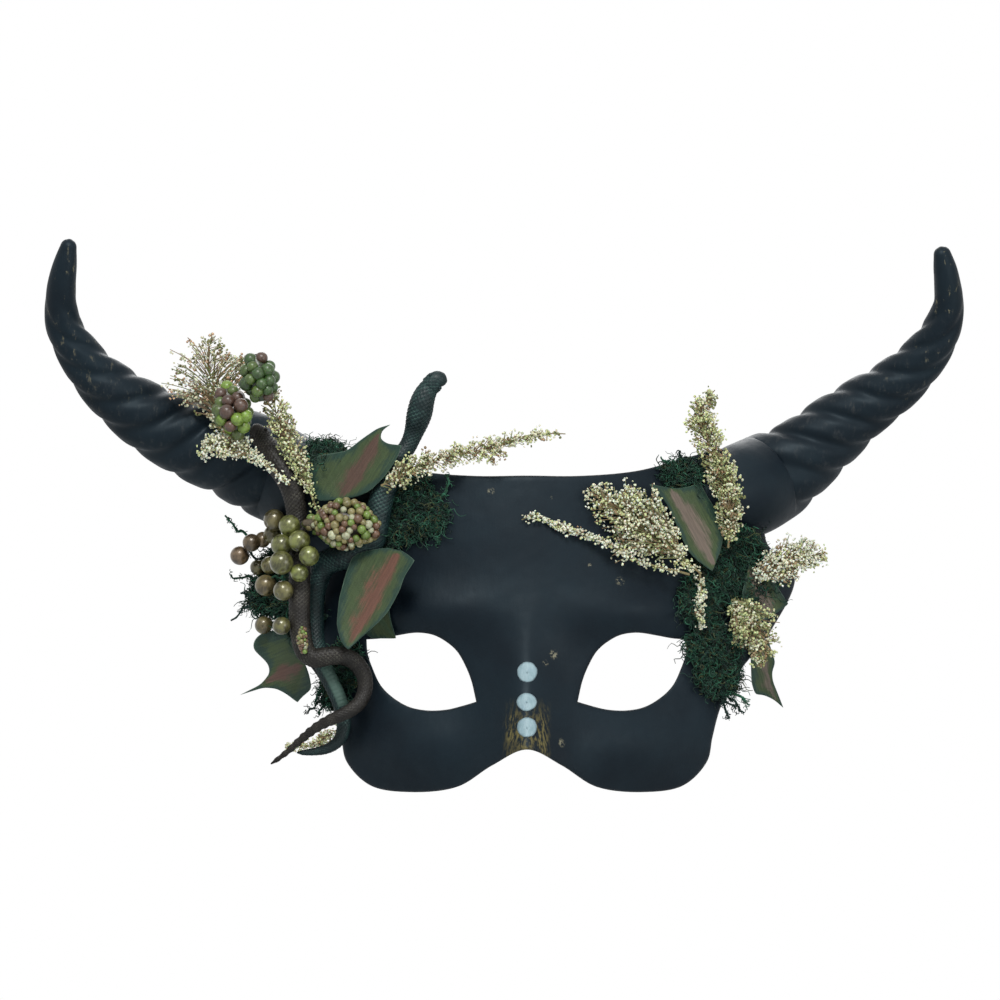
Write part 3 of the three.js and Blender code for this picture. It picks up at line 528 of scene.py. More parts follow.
# Where paint is chipped: x and z of the spot and how far it reaches.
SCRATCHES = [
    ((-13.5, 67.9), 2.4), ((9, 65.3), 1.3), ((23.6, 40), 1.3), ((10, 6.5), 3.2), ((7, 3.4), 2.2),
    ((35, 34), 3), ((-13, -38), 2), ((13, -26.5), 3),
]


def horn_wear(paint, colour):
    """Ridges and tips rubbed to brown and old gold. guide holds the share along and the ridge."""
    scuffs = paint.noise(2.2, 5, 0.75, paint.stretched((1, 1, 0.35)))
    tip = paint.ramp(paint.guide("X"), 0.45, 0.95, 0, 1)
    crest = paint.ramp(paint.guide("Y"), 0.35, 0.95)
    rubbed = paint.times(crest, paint.ramp(scuffs, 0.5, 0.68), 0.3)
    colour = paint.mix(rubbed, colour, (0.05, 0.05, 0.05))
    chipped = paint.times(tip, paint.ramp(scuffs, 0.6, 0.68), 0.75)
    return paint.mix(chipped, colour, (0.16, 0.145, 0.09))


def leaf_fabric():
    """Printed satin: teal edges, then olive, then a pink-brown heart, with fine lengthwise streaks.

    guide holds the share of the way from the edge to the rib, and the place across and along it.
    """
    cloth = Finish("leaf_fabric", Specular_IOR_Level=0.3, Sheen_Weight=0.12, Sheen_Roughness=0.5)
    heart = cloth.guide("X")
    across = cloth.guide("Y")
    along = cloth.guide("Z")
    line = cloth.node("ShaderNodeCombineXYZ", {"X": across, "Y": cloth.times(along, 0.07)}).outputs["Vector"]
    streak = cloth.node(
        "ShaderNodeTexNoise", {"Vector": line, "Scale": 1.5, "Detail": 4, "Roughness": 0.65}).outputs["Fac"]
    blot = cloth.noise(7, 3)
    depth = cloth.maths("ADD", heart, cloth.ramp(streak, 0.2, 0.8, -0.13, 0.13))
    depth = cloth.maths("ADD", depth, cloth.ramp(blot, 0.25, 0.75, -0.14, 0.14))
    tint = cloth.attribute("tint", "Color")
    colour = cloth.mix(cloth.ramp(depth, 0.08, 0.4), (0.011, 0.038, 0.025), (0.042, 0.066, 0.024))
    colour = cloth.mix(cloth.ramp(depth, 0.5, 0.85), colour, tint)
    rim = cloth.ramp(heart, 0.0, 0.04, 0.6, 0)
    colour = cloth.mix(rim, colour, (0.11, 0.18, 0.12))
    fine = cloth.ramp(streak, 0.35, 0.7, 0.8, 1.12)
    colour = cloth.mix(1.0, colour, cloth.node("ShaderNodeCombineColor", {
        "Red": fine, "Green": fine, "Blue": fine}).outputs["Color"], "MULTIPLY")
    weave = cloth.cells(0.55)
    cloth.relief((streak, 0.12), (weave, 0.05))
    return cloth.finish(colour, cloth.ramp(blot, 0.3, 0.7, 0.5, 0.66))


def snake_rubber(name, dark, net, belly, shine):
    """Scaled rubber: dark scales, a paler net between them and a pale belly.

    guide holds the height of the scale and how much the point belongs to the belly.
    """
    skin = Finish(name, Specular_IOR_Level=shine, Coat_Weight=0.08, Coat_Roughness=0.35)
    height = skin.guide("X")
    under = skin.guide("Y")
    patchy = skin.noise(6, 4, 0.6)
    grain = skin.noise(0.5, 4, 0.7)
    groove = skin.times(skin.ramp(height, 0.0, 0.4, 1, 0), skin.ramp(patchy, 0.42, 0.62, 0.05, 0.9))
    colour = skin.mix(skin.ramp(patchy, 0.35, 0.68), dark, [1.7 * value for value in dark])
    colour = skin.mix(groove, colour, net)
    colour = skin.mix(skin.times(under, 0.85), colour, belly)
    colour = skin.mix(skin.ramp(grain, 0.6, 0.8, 0, 0.35), colour, [1.6 * value for value in net])
    skin.relief((grain, 0.05))
    return skin.finish(colour, skin.ramp(patchy, 0.3, 0.7, 0.42, 0.6))


def pearly_lacquer():
    """Pearly lacquer with soft crescent streaks and a darker eye at one end."""
    pearl = Finish("pearly_lacquer", Metallic=0.28, Specular_IOR_Level=0.5, Coat_Weight=0.5,
                   Coat_Roughness=0.16)
    tint = pearl.attribute("tint", "Color")
    cloud = pearl.noise(3.2, 3, 0.5)
    streak = pearl.node("ShaderNodeTexWave", {
        "Vector": pearl.place(), "Scale": 240, "Distortion": 7, "Detail": 2, "Detail Scale": 1.2},
        wave_type="RINGS", rings_direction="SPHERICAL").outputs["Fac"]
    lighter = pearl.mix(1.0, tint, (1.55, 1.5, 1.35), "MULTIPLY")
    darker = pearl.mix(1.0, tint, (0.5, 0.46, 0.42), "MULTIPLY")
    colour = pearl.mix(pearl.ramp(cloud, 0.35, 0.68), darker, lighter)
    colour = pearl.mix(pearl.ramp(streak, 0.8, 1, 0, 0.35), colour, lighter)
    colour = pearl.mix(pearl.ramp(pearl.guide("X"), 0.0, 1.0), colour, (0.05, 0.04, 0.022))
    pearl.relief((cloud, 0.05), (pearl.noise(0.7, 3), 0.02))
    return pearl.finish(colour, pearl.ramp(cloud, 0.3, 0.7, 0.3, 0.42))


def bead_lacquer():
    """Small satin beads, each its own colour, mottled."""
    bead = Finish("bead_lacquer", Specular_IOR_Level=0.45, Coat_Weight=0.25, Coat_Roughness=0.25,
                  Subsurface_Weight=0.08, Subsurface_Scale=0.001)
    tint = bead.attribute("tint", "Color")
    mottle = bead.noise(1.3, 3, 0.6)
    darker = bead.mix(1.0, tint, (0.6, 0.55, 0.5), "MULTIPLY")
    colour = bead.mix(bead.ramp(mottle, 0.3, 0.62), darker, tint)
    bead.relief((bead.noise(0.6, 3), 0.03))
    return bead.finish(colour, bead.ramp(mottle, 0.3, 0.7, 0.34, 0.5))


def dry_flower():
    """Matte dried petals and stems, each its own colour, with painted shade in the hollows of their grain.
    """
    petal = Finish("dry_flower", Specular_IOR_Level=0.2, Subsurface_Weight=0.12, Subsurface_Scale=0.001)
    tint = petal.attribute("tint", "Color")
    grain = petal.noise(0.55, 4, 0.7)
    # Painted shade: the petals darken where the grain bump below is low, in its hollows.
    darker = petal.mix(1.0, tint, (0.8, 0.76, 0.66), "MULTIPLY")
    colour = petal.mix(petal.ramp(grain, 0.3, 0.6), darker, tint)
    petal.relief((grain, 0.12))
    return petal.finish(colour, petal.ramp(grain, 0.3, 0.7, 0.72, 0.92))


def moss_fibre():
    """Dry dyed moss: each strand its own green, with darker and browner stretches."""
    fibre = Finish("moss_fibre", Specular_IOR_Level=0.22, Sheen_Weight=0.08)
    tint = fibre.attribute("tint", "Color")
    stain = fibre.noise(2.2, 4, 0.7)
    darker = fibre.mix(1.0, tint, (0.5, 0.5, 0.42), "MULTIPLY")
    colour = fibre.mix(fibre.ramp(stain, 0.35, 0.6), darker, tint)
    fibre.relief((fibre.noise(0.4, 3), 0.08))
    return fibre.finish(colour, fibre.ramp(stain, 0.3, 0.7, 0.7, 0.92))


def dot_paint():
    """Thick satin paint dabbed on with a round brush."""
    paint = Finish("dot_paint", Specular_IOR_Level=0.4)
    strokes = paint.noise(1.6, 4, 0.6, paint.stretched((1, 1, 0.35)))
    stain = paint.noise(3.5, 3, 0.6)
    colour = paint.mix(paint.ramp(strokes, 0.3, 0.7), (0.22, 0.32, 0.35), (0.32, 0.43, 0.46))
    colour = paint.mix(paint.ramp(stain, 0.56, 0.7, 0, 0.6), colour, (0.25, 0.35, 0.4))
    colour = paint.mix(paint.ramp(paint.guide("X"), 0.86, 1.0, 0, 0.6), colour, (0.13, 0.17, 0.19))
    paint.relief((strokes, 0.14), (paint.noise(0.6, 3), 0.04))
    return paint.finish(colour, paint.ramp(strokes, 0.3, 0.7, 0.42, 0.58))


def worn_metal(name, paint_colour, metal_colour, metallic):
    """Metal with a thin dark finish that has worn off in spots."""
    metal = Finish(name, Metallic=metallic, Specular_IOR_Level=0.5)
    spots = metal.noise(1.8, 5, 0.7)
    lines = metal.noise(0.9, 3, 0.6, metal.stretched((1, 1, 0.2)))
    colour = metal.mix(metal.ramp(spots, 0.5, 0.66), paint_colour, metal_colour)
    metal.relief((lines, 0.02), (spots, 0.03))
    return metal.finish(colour, metal.ramp(lines, 0.3, 0.7, 0.28, 0.46))


# ---- the face
def raw_face(x, z):
    side = np.abs(x)
    sweep = BOW * (x / TEMPLE_HALF) ** 2
    lean = np.where(z > 0, FOREHEAD_LEAN * (z / CROWN_HEIGHT) ** 2, CHEEK_TUCK * (z / CHEEK_DROP) ** 2)
    down = np.clip((NOSE_TOP - z) / (NOSE_TOP + NOSE_END), 0, 1.1)
    nose = NOSE_RISE * down ** 2 * np.exp(-((side / (8 + 7 * down)) ** NOSE_FALL))
    brow = BROW_RISE * bump(side - EYE_SPACING / 2, 26) * bump(z - EYE_HEIGHT * 0.78, 9)
    cheek = CHEEK_RISE * bump(side - EYE_SPACING / 2, 22) * bump(z + EYE_HEIGHT, 15)
    socket = SOCKET_DIP * bump(side - EYE_SPACING / 2, 24) * bump(z, 17)
    return sweep + lean - nose - brow - cheek + socket


def slopes(x, z):
    step = 0.05
    fx = (raw_face(x + step, z) - raw_face(x - step, z)) / (2 * step)
    fz = (raw_face(x, z + step) - raw_face(x, z - step)) / (2 * step)
    return fx, fz, np.sqrt(1 + fx * fx + fz * fz)


FACE_OFFSET = float(-raw_face(0.0, 0.0) - WALL * slopes(0.0, 0.0)[2])


def face_y(x, z):
    return raw_face(np.asarray(x, float), np.asarray(z, float)) + FACE_OFFSET


def face_inward(x, z):
    fx, fz, _ = slopes(x, z)
    return unit(np.array([-fx, 1.0, -fz]))


def eye_loop(side):
    lids = [spline(lid, 0.03)[:-1] for lid in (LOWER_LID, UPPER_LID)]
    shares = np.concatenate(lids)
    loop = np.column_stack([side * (EYE_SPACING / 2 + shares[:, 0] * EYE_WIDTH), shares[:, 1] * EYE_HEIGHT])
    return loop if side > 0 else loop[::-1]


def eyelet_loop(side):
    """The eyelet's hole as it falls on the flat drawing of the sloping shell."""
    angle = 2 * np.pi * np.arange(20) / 20
    x, z = side * EYELET_PLACE[0], EYELET_PLACE[1]
    lean = 1 / slopes(x, z)[2]
    radius = EYELET_BARREL / 2 + GLUE_GAP
    return np.column_stack([x + radius * lean * np.cos(angle), z + radius * np.sin(angle)])


def inward(loop, distance):
    """The loop moved to its left by that distance."""
    along = unit(np.roll(loop, -1, axis=0) - np.roll(loop, 1, axis=0))
    return loop + distance * np.column_stack([-along[:, 1], along[:, 0]])


def flat_sheet(outer, holes, cell, insets):
    """Points and triangles that fill a flat outline around its holes, and the distance to an edge."""
    loops = [outer, *holes]
    edges = []
    start = 0
    for loop in loops:
        edges += [(start + i, start + (i + 1) % len(loop)) for i in range(len(loop))]
        start += len(loop)
    rim = np.concatenate(loops)
    close = np.concatenate([even(np.concatenate([loop, loop[:1]]), 0.25) for loop in loops])
    low, high = outer.min(axis=0), outer.max(axis=0)
    rows = np.arange(low[1], high[1], cell * 0.866)
    fill = [
        (x + (i % 2) * cell / 2, z) for i, z in enumerate(rows) for x in np.arange(low[0], high[0], cell)]
    near = [inward(loop, sign * d) for loop in loops for d in insets for sign in (1, -1)]
    extra = np.concatenate([np.array(fill), *near])
    apart = distance_to(close, extra)
    is_fill = np.arange(len(extra)) < len(fill)
    keep = inside(outer, extra) & np.where(is_fill, apart > insets[-1] + cell * 0.4, apart > 0.8 * insets[0])
    for hole in holes:
        keep &= ~inside(hole, extra)
    points = np.concatenate([rim, extra[keep]])
    done = delaunay_2d_cdt([Vector(p) for p in points], edges, [], 0, 1e-6)
    points = np.array([p[:] for p in done[0]])
    triangles = np.array([t for t in done[2] if len(t) == 3])
    centres = points[triangles].mean(axis=1)
    good = inside(outer, centres)
    for hole in holes:
        good &= ~inside(hole, centres)
    return points, triangles[good], distance_to(close, points)


def two_sided(flat, triangles, front, back):
    """A closed sheet between a front and a back surface that share one flat drawing."""
    count = len(flat)
    p = flat[triangles]
    first = p[:, 1] - p[:, 0]
    second = p[:, 2] - p[:, 0]
    wrong = first[:, 0] * second[:, 1] - first[:, 1] * second[:, 0] < 0
    triangles = np.where(wrong[:, None], triangles[:, ::-1], triangles)
    edges = np.concatenate([triangles[:, [0, 1]], triangles[:, [1, 2]], triangles[:, [2, 0]]])
    _, where, used = np.unique(
        np.sort(edges, axis=1), axis=0, return_inverse=True, return_counts=True)
    border = edges[used[where.reshape(-1)] == 1]
    wall = np.column_stack([border[:, 1], border[:, 0], border[:, 0] + count, border[:, 1] + count])
    points = np.concatenate([front, back])
    return points, [np.concatenate([triangles, triangles[:, ::-1] + count]), wall]


def shell():
    """The paper shell between its outline and its holes, with rounded rims and uneven walls."""
    half = np.array(OUTLINE_HALF, float)
    mirrored = half[1:-1][::-1] * (-1, 1)
    outer = spline(np.concatenate([half, mirrored]), 1.1, closed=True)[:-1]
    holes = [eye_loop(1), eye_loop(-1), eyelet_loop(1), eyelet_loop(-1)]
    flat, triangles, edge = flat_sheet(outer, holes, 1.9, [0.3, 0.8])
    x, z = flat.T
    secant = slopes(x, z)[2]
    lip = 0.95
    lost = lip * (1 - np.sqrt(np.clip(1 - (1 - np.clip(edge / lip, 0, 1)) ** 2, 0, 1)))
    spots = np.column_stack([x, np.zeros(len(x)), z])
    uneven = 0.16 * ripple(spots, 17) + 0.05 * ripple(spots, 5, 3)
    front = np.column_stack([x, face_y(x, z) + (lost + uneven) * secant, z])
    back = np.column_stack([x, face_y(x, z) + (WALL - lost + uneven) * secant, z])
    points, faces = two_sided(flat, triangles, front, back)
    bundle = Bundle()
    behind = np.repeat([0.0, 1.0], len(flat))
    guide = np.column_stack([np.tile(edge, 2), behind, np.zeros(2 * len(flat))])
    bundle.add(points, faces, guide=guide)
    bundle.build("shell_paper", MATERIALS["shell"], "papier_mache", "mask_shell")


def nose_dot(node):
    """A dab of thick paint with an uneven rim, laid on the nose."""
    low, high = (np.array(corner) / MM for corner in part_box(node))
    centre = (low + high) / 2
    half = (high - low) / 2
    around, steps = 56, 9
    angle = 2 * np.pi * np.arange(around) / around
    circle = np.column_stack([np.cos(angle), np.zeros(around), np.sin(angle)])
    ragged = 1 + 0.05 * ripple(circle * 2, 1, centre[2]) + 0.02 * ripple(circle * 6, 1, centre[2])
    share = np.linspace(0.06, 1, steps)
    x = centre[0] + (share[:, None] * ragged * np.cos(angle) * half[0]).ravel()
    z = centre[2] + (share[:, None] * ragged * np.sin(angle) * half[2]).ravel()
    thick = 0.42 * np.sqrt(1 - np.repeat(share, around) ** 7)
    y = face_y(x, z) - (0.06 + thick) * slopes(x, z)[2]
    under = face_y(x, z) + 0.25
    front = np.column_stack([x, y, z])
    back = np.column_stack([x, under, z])[::-1]
    points = np.concatenate([front, back.reshape(steps, around, 3)[:, ::-1].reshape(-1, 3)])
    middle_front = (centre[0], float(y.min()), centre[2])
    middle_back = (centre[0], float(under.mean()), centre[2])
    points = np.concatenate([points, [middle_front, middle_back]])
    guide = np.zeros((len(points), 3))
    guide[:around * steps, 0] = np.repeat(share, around)
    bundle = Bundle()
    faces = [group[:, ::-1] for group in capped(2 * steps, around)]
    bundle.add(points, faces, guide=guide)
    bundle.build(f"paint_{node}", MATERIALS["dot"], "dot_paint", node)


def eyelet(side, node):
    """A rolled metal eyelet set square to the shell at the temple."""
    x, z = side * EYELET_PLACE[0], EYELET_PLACE[1]
    front = -GLUE_GAP - EYELET_SHEET
    back = WALL + GLUE_GAP + EYELET_SHEET
    bore, barrel, flange = EYELET_BORE / 2, EYELET_BARREL / 2, EYELET_FLANGE / 2
    roll = EYELET_SHEET / 2
    profile = [
        (bore, front + roll), (bore + 0.1, front + 0.1), (bore + 0.5, front - 0.12), (flange - 0.9, front),
        (flange - 0.15, front + 0.12), (flange, front + roll), (flange - 0.15, front + EYELET_SHEET),
        (barrel, front + EYELET_SHEET), (barrel, back - EYELET_SHEET),
        (flange - 0.15, back - EYELET_SHEET), (flange, back - roll), (flange - 0.15, back - 0.12),
        (flange - 0.9, back), (bore + 0.5, back + 0.12), (bore + 0.1, back - 0.1), (bore, back - roll),
    ]
    around = 48
    angle = 2 * np.pi * np.arange(around) / around
    axis = face_inward(x, z)
    right = unit(np.cross(axis, (0.0, 0.0, 1.0)))
    up = np.cross(right, axis)
    centre = np.array([x, float(face_y(x, z)), z])
    ring = np.cos(angle)[:, None] * right + np.sin(angle)[:, None] * up
    rows = [centre + axis * depth + ring * radius for radius, depth in [*profile, profile[0]]]
    bundle = Bundle()
    bundle.add(np.concatenate(rows), grid_faces(len(rows), around))
    bundle.build(f"metal_{node}", MATERIALS["eyelet"], "eyelet_metal", node)


# ---- the horns
# Points of a horn inside the shell: x, z and radius. Beyond them: shares of the reach, of the
# rise and of the forward lean, and a radius.
HORN_ROOT = [(55, 66, 4), (67, 66, 13), (79, 67, 18), (91.7, 72.7, 18)]
HORN_FREE = {
    "right": [
        (0.137, 0.07, 0, 14.8), (0.308, 0.184, 0.02, 13.2), (0.455, 0.282, 0.08, 11.6),
        (0.636, 0.386, 0.22, 10.2), (0.764, 0.481, 0.36, 9), (0.876, 0.604, 0.55, 7.5),
        (0.928, 0.735, 0.74, 5.9), (0.92, 0.84, 0.86, 4.9), (0.899, 0.935, 0.95, 4), (0.885, 0.985, 1, 2.3),
    ],
    "left": [
        (0.107, 0.052, 0, 18.2), (0.225, 0.105, 0.02, 17), (0.394, 0.158, 0.06, 15.2),
        (0.554, 0.222, 0.14, 13.2), (0.713, 0.32, 0.28, 11.3), (0.861, 0.446, 0.44, 8.9),
        (0.977, 0.615, 0.62, 6.8), (0.994, 0.692, 0.72, 6.1), (0.992, 0.79, 0.83, 5.5),
        (0.971, 0.902, 0.93, 4.4), (0.952, 0.985, 1, 2.3),
    ],
}

# The gap between two points of a horn's centre line.
HORN_STEP = 0.8


def horn(side, name):
    """A horn with four strands of ridges wound round it, smooth at the root and the tip."""
    root = [(side * x, float(face_y(side * x, z)) + HORN_SINK, z) for x, z, _ in HORN_ROOT]
    span = np.array([side * HORN_REACH[name], -HORN_FORWARD, HORN_RISE[name]])
    free = [root[-1] + span * (u, w, v) for u, v, w, _ in HORN_FREE[name]]
    knots = np.concatenate([root, free])
    sizes = [knot[-1] for knot in HORN_ROOT + HORN_FREE[name]]
    line = spline(knots, HORN_STEP)
    last = len(line) - 1
    at = [int(np.argmin(np.linalg.norm(line - knot, axis=1))) for knot in knots]
    radius = np.interp(np.arange(len(line)), at, sizes)
    radius = np.convolve(np.pad(radius, 6, mode="edge"), np.ones(13) / 13, mode="valid")
    closing = np.clip((last - np.arange(len(line))) / 3, 0, 1)
    radius = radius * np.sqrt(1 - 0.97 * (1 - closing) ** 2)

    sides = 128
    share = np.arange(len(line)) / last
    out = at[len(root) - 1] / last
    angle = 2 * np.pi * np.arange(sides) / sides
    phase = -HORN_STRANDS * side * angle + 2 * np.pi * share[:, None] * HORN_STEP * last / RIDGE_PITCH
    valley = (0.5 + 0.5 * np.cos(phase)) ** 2.4
    strength = smooth(out * 0.9, out * 1.3, share) * (1 - smooth(0.8, 0.92, share))
    ridge = strength[:, None] * (0.045 - RIDGE_DEPTH * valley)
    wander = ripple(line, 13, side * 5)[:, None] * 0.02
    points, faces = tube(line, radius, sides, radius[:, None] * (ridge + wander))
    along = np.concatenate([np.repeat(share, sides), [0, 1]])
    crest = np.concatenate([(strength[:, None] * (1 - valley)).ravel(), [0, 0]])
    bundle = Bundle()
    bundle.add(points, faces, guide=np.column_stack([along, crest, np.zeros(len(along))]))
    bundle.build(f"horn_{name}_paper", MATERIALS["horn"], "papier_mache", f"horn_{name}")


# ---- the snakes
def scales(along, angle, around, pitch):
    """Height of a net of diamond scales, 0 in the grooves and 1 on the scales."""
    turn = around * angle / (2 * np.pi)
    first = (along[:, None] / pitch + turn) % 1
    second = (along[:, None] / pitch - turn) % 1
    edge = np.minimum(0.5 - np.abs(first - 0.5), 0.5 - np.abs(second - 0.5))
    return smooth(0.0, 0.32, edge)


def snake(node, start, name, slot, around, pitch, head, belly_side, tail_knots, thinning):
    """A rubber snake along the CAD's own line, with scales, a head with eyes, and a pale belly."""
    step = 0.42
    line, radius = lofted(node, start, step)
    radius = np.convolve(np.pad(radius, 5, mode="edge"), np.ones(11) / 11, mode="valid")
    along = step * np.arange(len(line))
    slim = 1 - thinning * smooth(0.45, 0.75, along / along[-1])
    radius = radius * slim
    left = along[-1] - along
    tip = np.sqrt(np.clip(left / 2.0, 0, 1))
    snout = np.sqrt(1 - (1 - np.clip(along / head, 0, 1)) ** 2.4)
    radius = radius * np.maximum(tip, 0.25)
    blunt = np.where(along < head, np.maximum(radius, radius.max() * 0.8), radius)
    radius = np.where(along < head, blunt * np.maximum(snout, 0.12), radius)
    squash = 1 - 0.24 * (1 - smooth(head, head * 1.9, along))
    sides = 96
    angle = 2 * np.pi * np.arange(sides) / sides
    height = scales(along, angle, around, pitch)
    worn = smooth(0.3 * head, 0.9 * head, along)
    knots = tail_knots * smooth(40, 18, left)
    beads = 0.5 + 0.5 * np.cos(2 * np.pi * along / 3.4)
    relief = (0.32 * (height - 1) * (0.35 + 0.65 * worn)[:, None]) * smooth(0, 1.2, left)[:, None]
    relief = relief - (0.22 * radius * knots * beads)[:, None]
    _, across, up = carried(line)
    outward = np.cos(angle)[None, :, None] * across[:, None] + np.sin(angle)[None, :, None] * up[:, None]
    under = smooth(0.35, 0.75, outward @ np.array([0.0, 1.0, 0.0]))
    low, high = belly_side
    shown = (line[:, 2] > low) & (line[:, 2] < high) & (left < 70)
    turned = smooth(0.5, 0.8, outward @ unit(np.array([0.45, -1.0, 0.3])))
    under = np.where(shown[:, None], turned, under)
    ribs = 0.5 + 0.5 * np.cos(2 * np.pi * along / 1.5)[:, None]
    height = np.where(under > 0.4, ribs, height)
    relief = np.where(under > 0.4, 0.2 * (ribs - 1), relief)
    mouth = bump(np.abs(np.cos(angle)) - 0.93, 0.06)[None] * smooth(head * 1.05, head * 0.9, along)[:, None]
    relief = relief - 0.3 * mouth
    points, faces = tube(line, radius, sides, relief, squash)
    relief_high = np.concatenate([height.ravel(), [1, 1]])
    belly = np.concatenate([under.ravel(), [0, 0]])
    guide = np.column_stack([relief_high, belly, np.zeros(len(points))])
    bundle = Bundle()
    bundle.add(points, faces, guide=guide)
    place = int(head * 0.62 / step)
    for sign in (-1, 1):
        eye = line[place] + across[place] * sign * radius[place] * 0.8 + up[place] * radius[place] * 0.42
        shape, sides_of = ball(3)
        bundle.add(shape * 0.75 + eye, sides_of, guide=(1, 0, 0))
    bundle.build(name, MATERIALS[slot], slot, node)


# ---- the leaves
# Line of each leaf's rib, from its root to its tip, and the colour of its heart.
PINK = (0.085, 0.048, 0.034)
RUST = (0.13, 0.058, 0.038)
FADED = (0.15, 0.115, 0.09)
LEAVES = {
    "leaf_cheek_left": ((-84, 2), (-103, -5), (0.11, 0.06, 0.045)),
    "leaf_temple_left_back": ((-59, 25), (-50, 13), (0.035, 0.07, 0.03)),
    "leaf_temple_left": ((-66, 11), (-49, 44), RUST),
    "leaf_brow_left": ((-70, 65), (-55, 90), PINK),
    "leaf_brow_right": ((71, 40), (54, 69), FADED),
    "leaf_temple_right": ((83, 39), (93, 21), FADED),
    "leaf_cheek_right": ((87, 11), (94, -11), FADED),
}


def front_sheet(node):
    """The outline of a CAD leaf and the numbers of the curved surface that it lies on."""
    points, triangles = cad_mesh(node)
    p = points[triangles]
    normal = np.cross(p[:, 1] - p[:, 0], p[:, 2] - p[:, 0])
    front = triangles[normal[:, 1] < -1e-6 * np.abs(normal).max()]
    edges = np.concatenate([front[:, [0, 1]], front[:, [1, 2]], front[:, [2, 0]]])
    lone = {tuple(e) for e in edges}
    after = {a: b for a, b in lone if (b, a) not in lone}
    first = next(iter(after))
    order = [first]
    while after[order[-1]] != first:
        order.append(after[order[-1]])
    used = points[np.unique(front)]
    terms = quadratic(used[:, 0], used[:, 2])
    numbers = np.linalg.lstsq(terms, used[:, 1], rcond=None)[0]
    return points[order][:, [0, 2]], numbers


def quadratic(x, z):
    return np.column_stack([np.ones(len(x)), x, z, x * x, z * z])


def rounded(loop):
    """The outline with its shallow corners rounded off and its sharp tips kept."""
    points = even(np.concatenate([loop, loop[:1]]), 1.0)[:-1]
    before = np.roll(points, 2, axis=0) - points
    after = np.roll(points, -2, axis=0) - points
    bend = (unit(before) * unit(after)).sum(axis=1)
    sharp = smooth(-0.75, -0.25, bend)[:, None]
    for _ in range(3):
        softer = (np.roll(points, 1, axis=0) + 2 * points + np.roll(points, -1, axis=0)) / 4
        points = points * sharp + softer * (1 - sharp)
    return points


def leaf(node, rib_start, rib_end, heart):
    """A thin stamped leaf on its CAD node's own outline and surface, with a rib and veins."""
    outline, numbers = front_sheet(node)
    loop = rounded(outline)
    flat, triangles, edge = flat_sheet(loop, [], 1.05, [0.35])
    x, z = flat.T
    start, end = np.array(rib_start, float), np.array(rib_end, float)
    along_rib = unit(end - start)
    offset = flat - start
    along = offset @ along_rib
    across = offset @ np.array([-along_rib[1], along_rib[0]])
    reach = np.linalg.norm(end - start)
    beyond = np.clip(along, 0, reach) - along
    from_rib = np.hypot(across, beyond)
    share = edge / (edge + from_rib + 1e-6)
    base = quadratic(x, z) @ numbers
    rib = bump(across, 0.7) * smooth(reach * 1.05, reach * 0.8, along)
    side_vein = (along - 0.8 * np.abs(across)) / 4.2
    vein = bump((side_vein % 1) - 0.5, 0.11) * smooth(0.3, 2.5, np.abs(across))
    wavy = 0.6 * ripple(np.column_stack([x, z, z * 0]), 9, reach) * smooth(0.75, 0.1, share)
    lift = -0.35 * rib - 0.12 * vein + wavy - 0.25 * smooth(0, 6, from_rib)
    thickness = 0.5 * np.sqrt(np.clip(edge / 0.4, 0.05, 1))
    front = np.column_stack([x, base + lift - thickness / 2 + 0.25, z])
    back = np.column_stack([x, base + lift + thickness / 2 + 0.25, z])
    points, faces = two_sided(flat, triangles, front, back)
    guide = np.column_stack([share, across, along])
    bundle = Bundle()
    bundle.add(points, faces, tint=heart, guide=np.tile(guide, (2, 1)))
    bundle.build(f"{node}_cloth", MATERIALS["leaf_fabric"], "leaf_fabric", node)


# ---- moss
MOSS_COLOURS = [(0.014, 0.062, 0.038), (0.03, 0.12, 0.07), (0.006, 0.026, 0.02), (0.07, 0.085, 0.035)]
# Single curls that stray from a bed: start and end in x and z.
STRAYS = {
    "moss_temple_left": [((-103, 46), (-114.5, 59)), ((-100, 30), (-111.5, 18)), ((-101, 34), (-112, 36)),
                         ((-98, 40), (-108, 47)), ((-100, 27), (-107, 29))],
    "moss_cheek_right": [((75, -7), (82, -16.5)), ((73, -8), (76, -18)), ((74, -6), (84, -12)),
                         ((72, -8), (79.5, -14.5))],
    "moss_brow_right": [((56, 76), (51, 81.5)), ((60, 76), (59, 83)), ((64, 75), (68, 82))],
    "moss_cheek_left": [((-76, -8), (-78, -17)), ((-76, -4), (-80, -12)), ((-77, -10), (-82, -16))],
    "moss_brow_left": [((-34, 60), (-28, 52)), ((-32, 66), (-28, 74)), ((-36, 56), (-33, 48))],
    "moss_horn_left": [((-82, 80), (-88, 84))],
    "moss_temple_right": [((84, 50), (92, 56)), ((66, 30), (60, 27)), ((82, 52), (86, 60))],
}


def curls(rng, starts, normals, lengths, tightness):
    """Curling paths that set off from a surface, thread by point by 3."""
    count, steps = len(starts), 9
    share = np.linspace(0, 1, steps)[None, :, None]
    heading = unit(rng.normal(size=(count, 3)) + 0.75 * normals)[:, None]
    first = unit(np.cross(heading, rng.normal(size=(count, 1, 3))))
    second = np.cross(heading, first)
    winds = (rng.uniform(0.6, 2.1, count) * 2 * np.pi)[:, None, None] * share
    turn = winds + 6.28 * rng.random((count, 1, 1))
    wide = (tightness * rng.uniform(0.4, 1.5, count))[:, None, None]
    coil = wide * (np.cos(turn) * first + np.sin(turn) * second)
    run = heading * (lengths[:, None, None] * share)
    path = starts[:, None] + run + coil - coil[:, :1]
    path[:, :, 2] -= 0.12 * lengths[:, None] * share[..., 0] ** 2
    return path


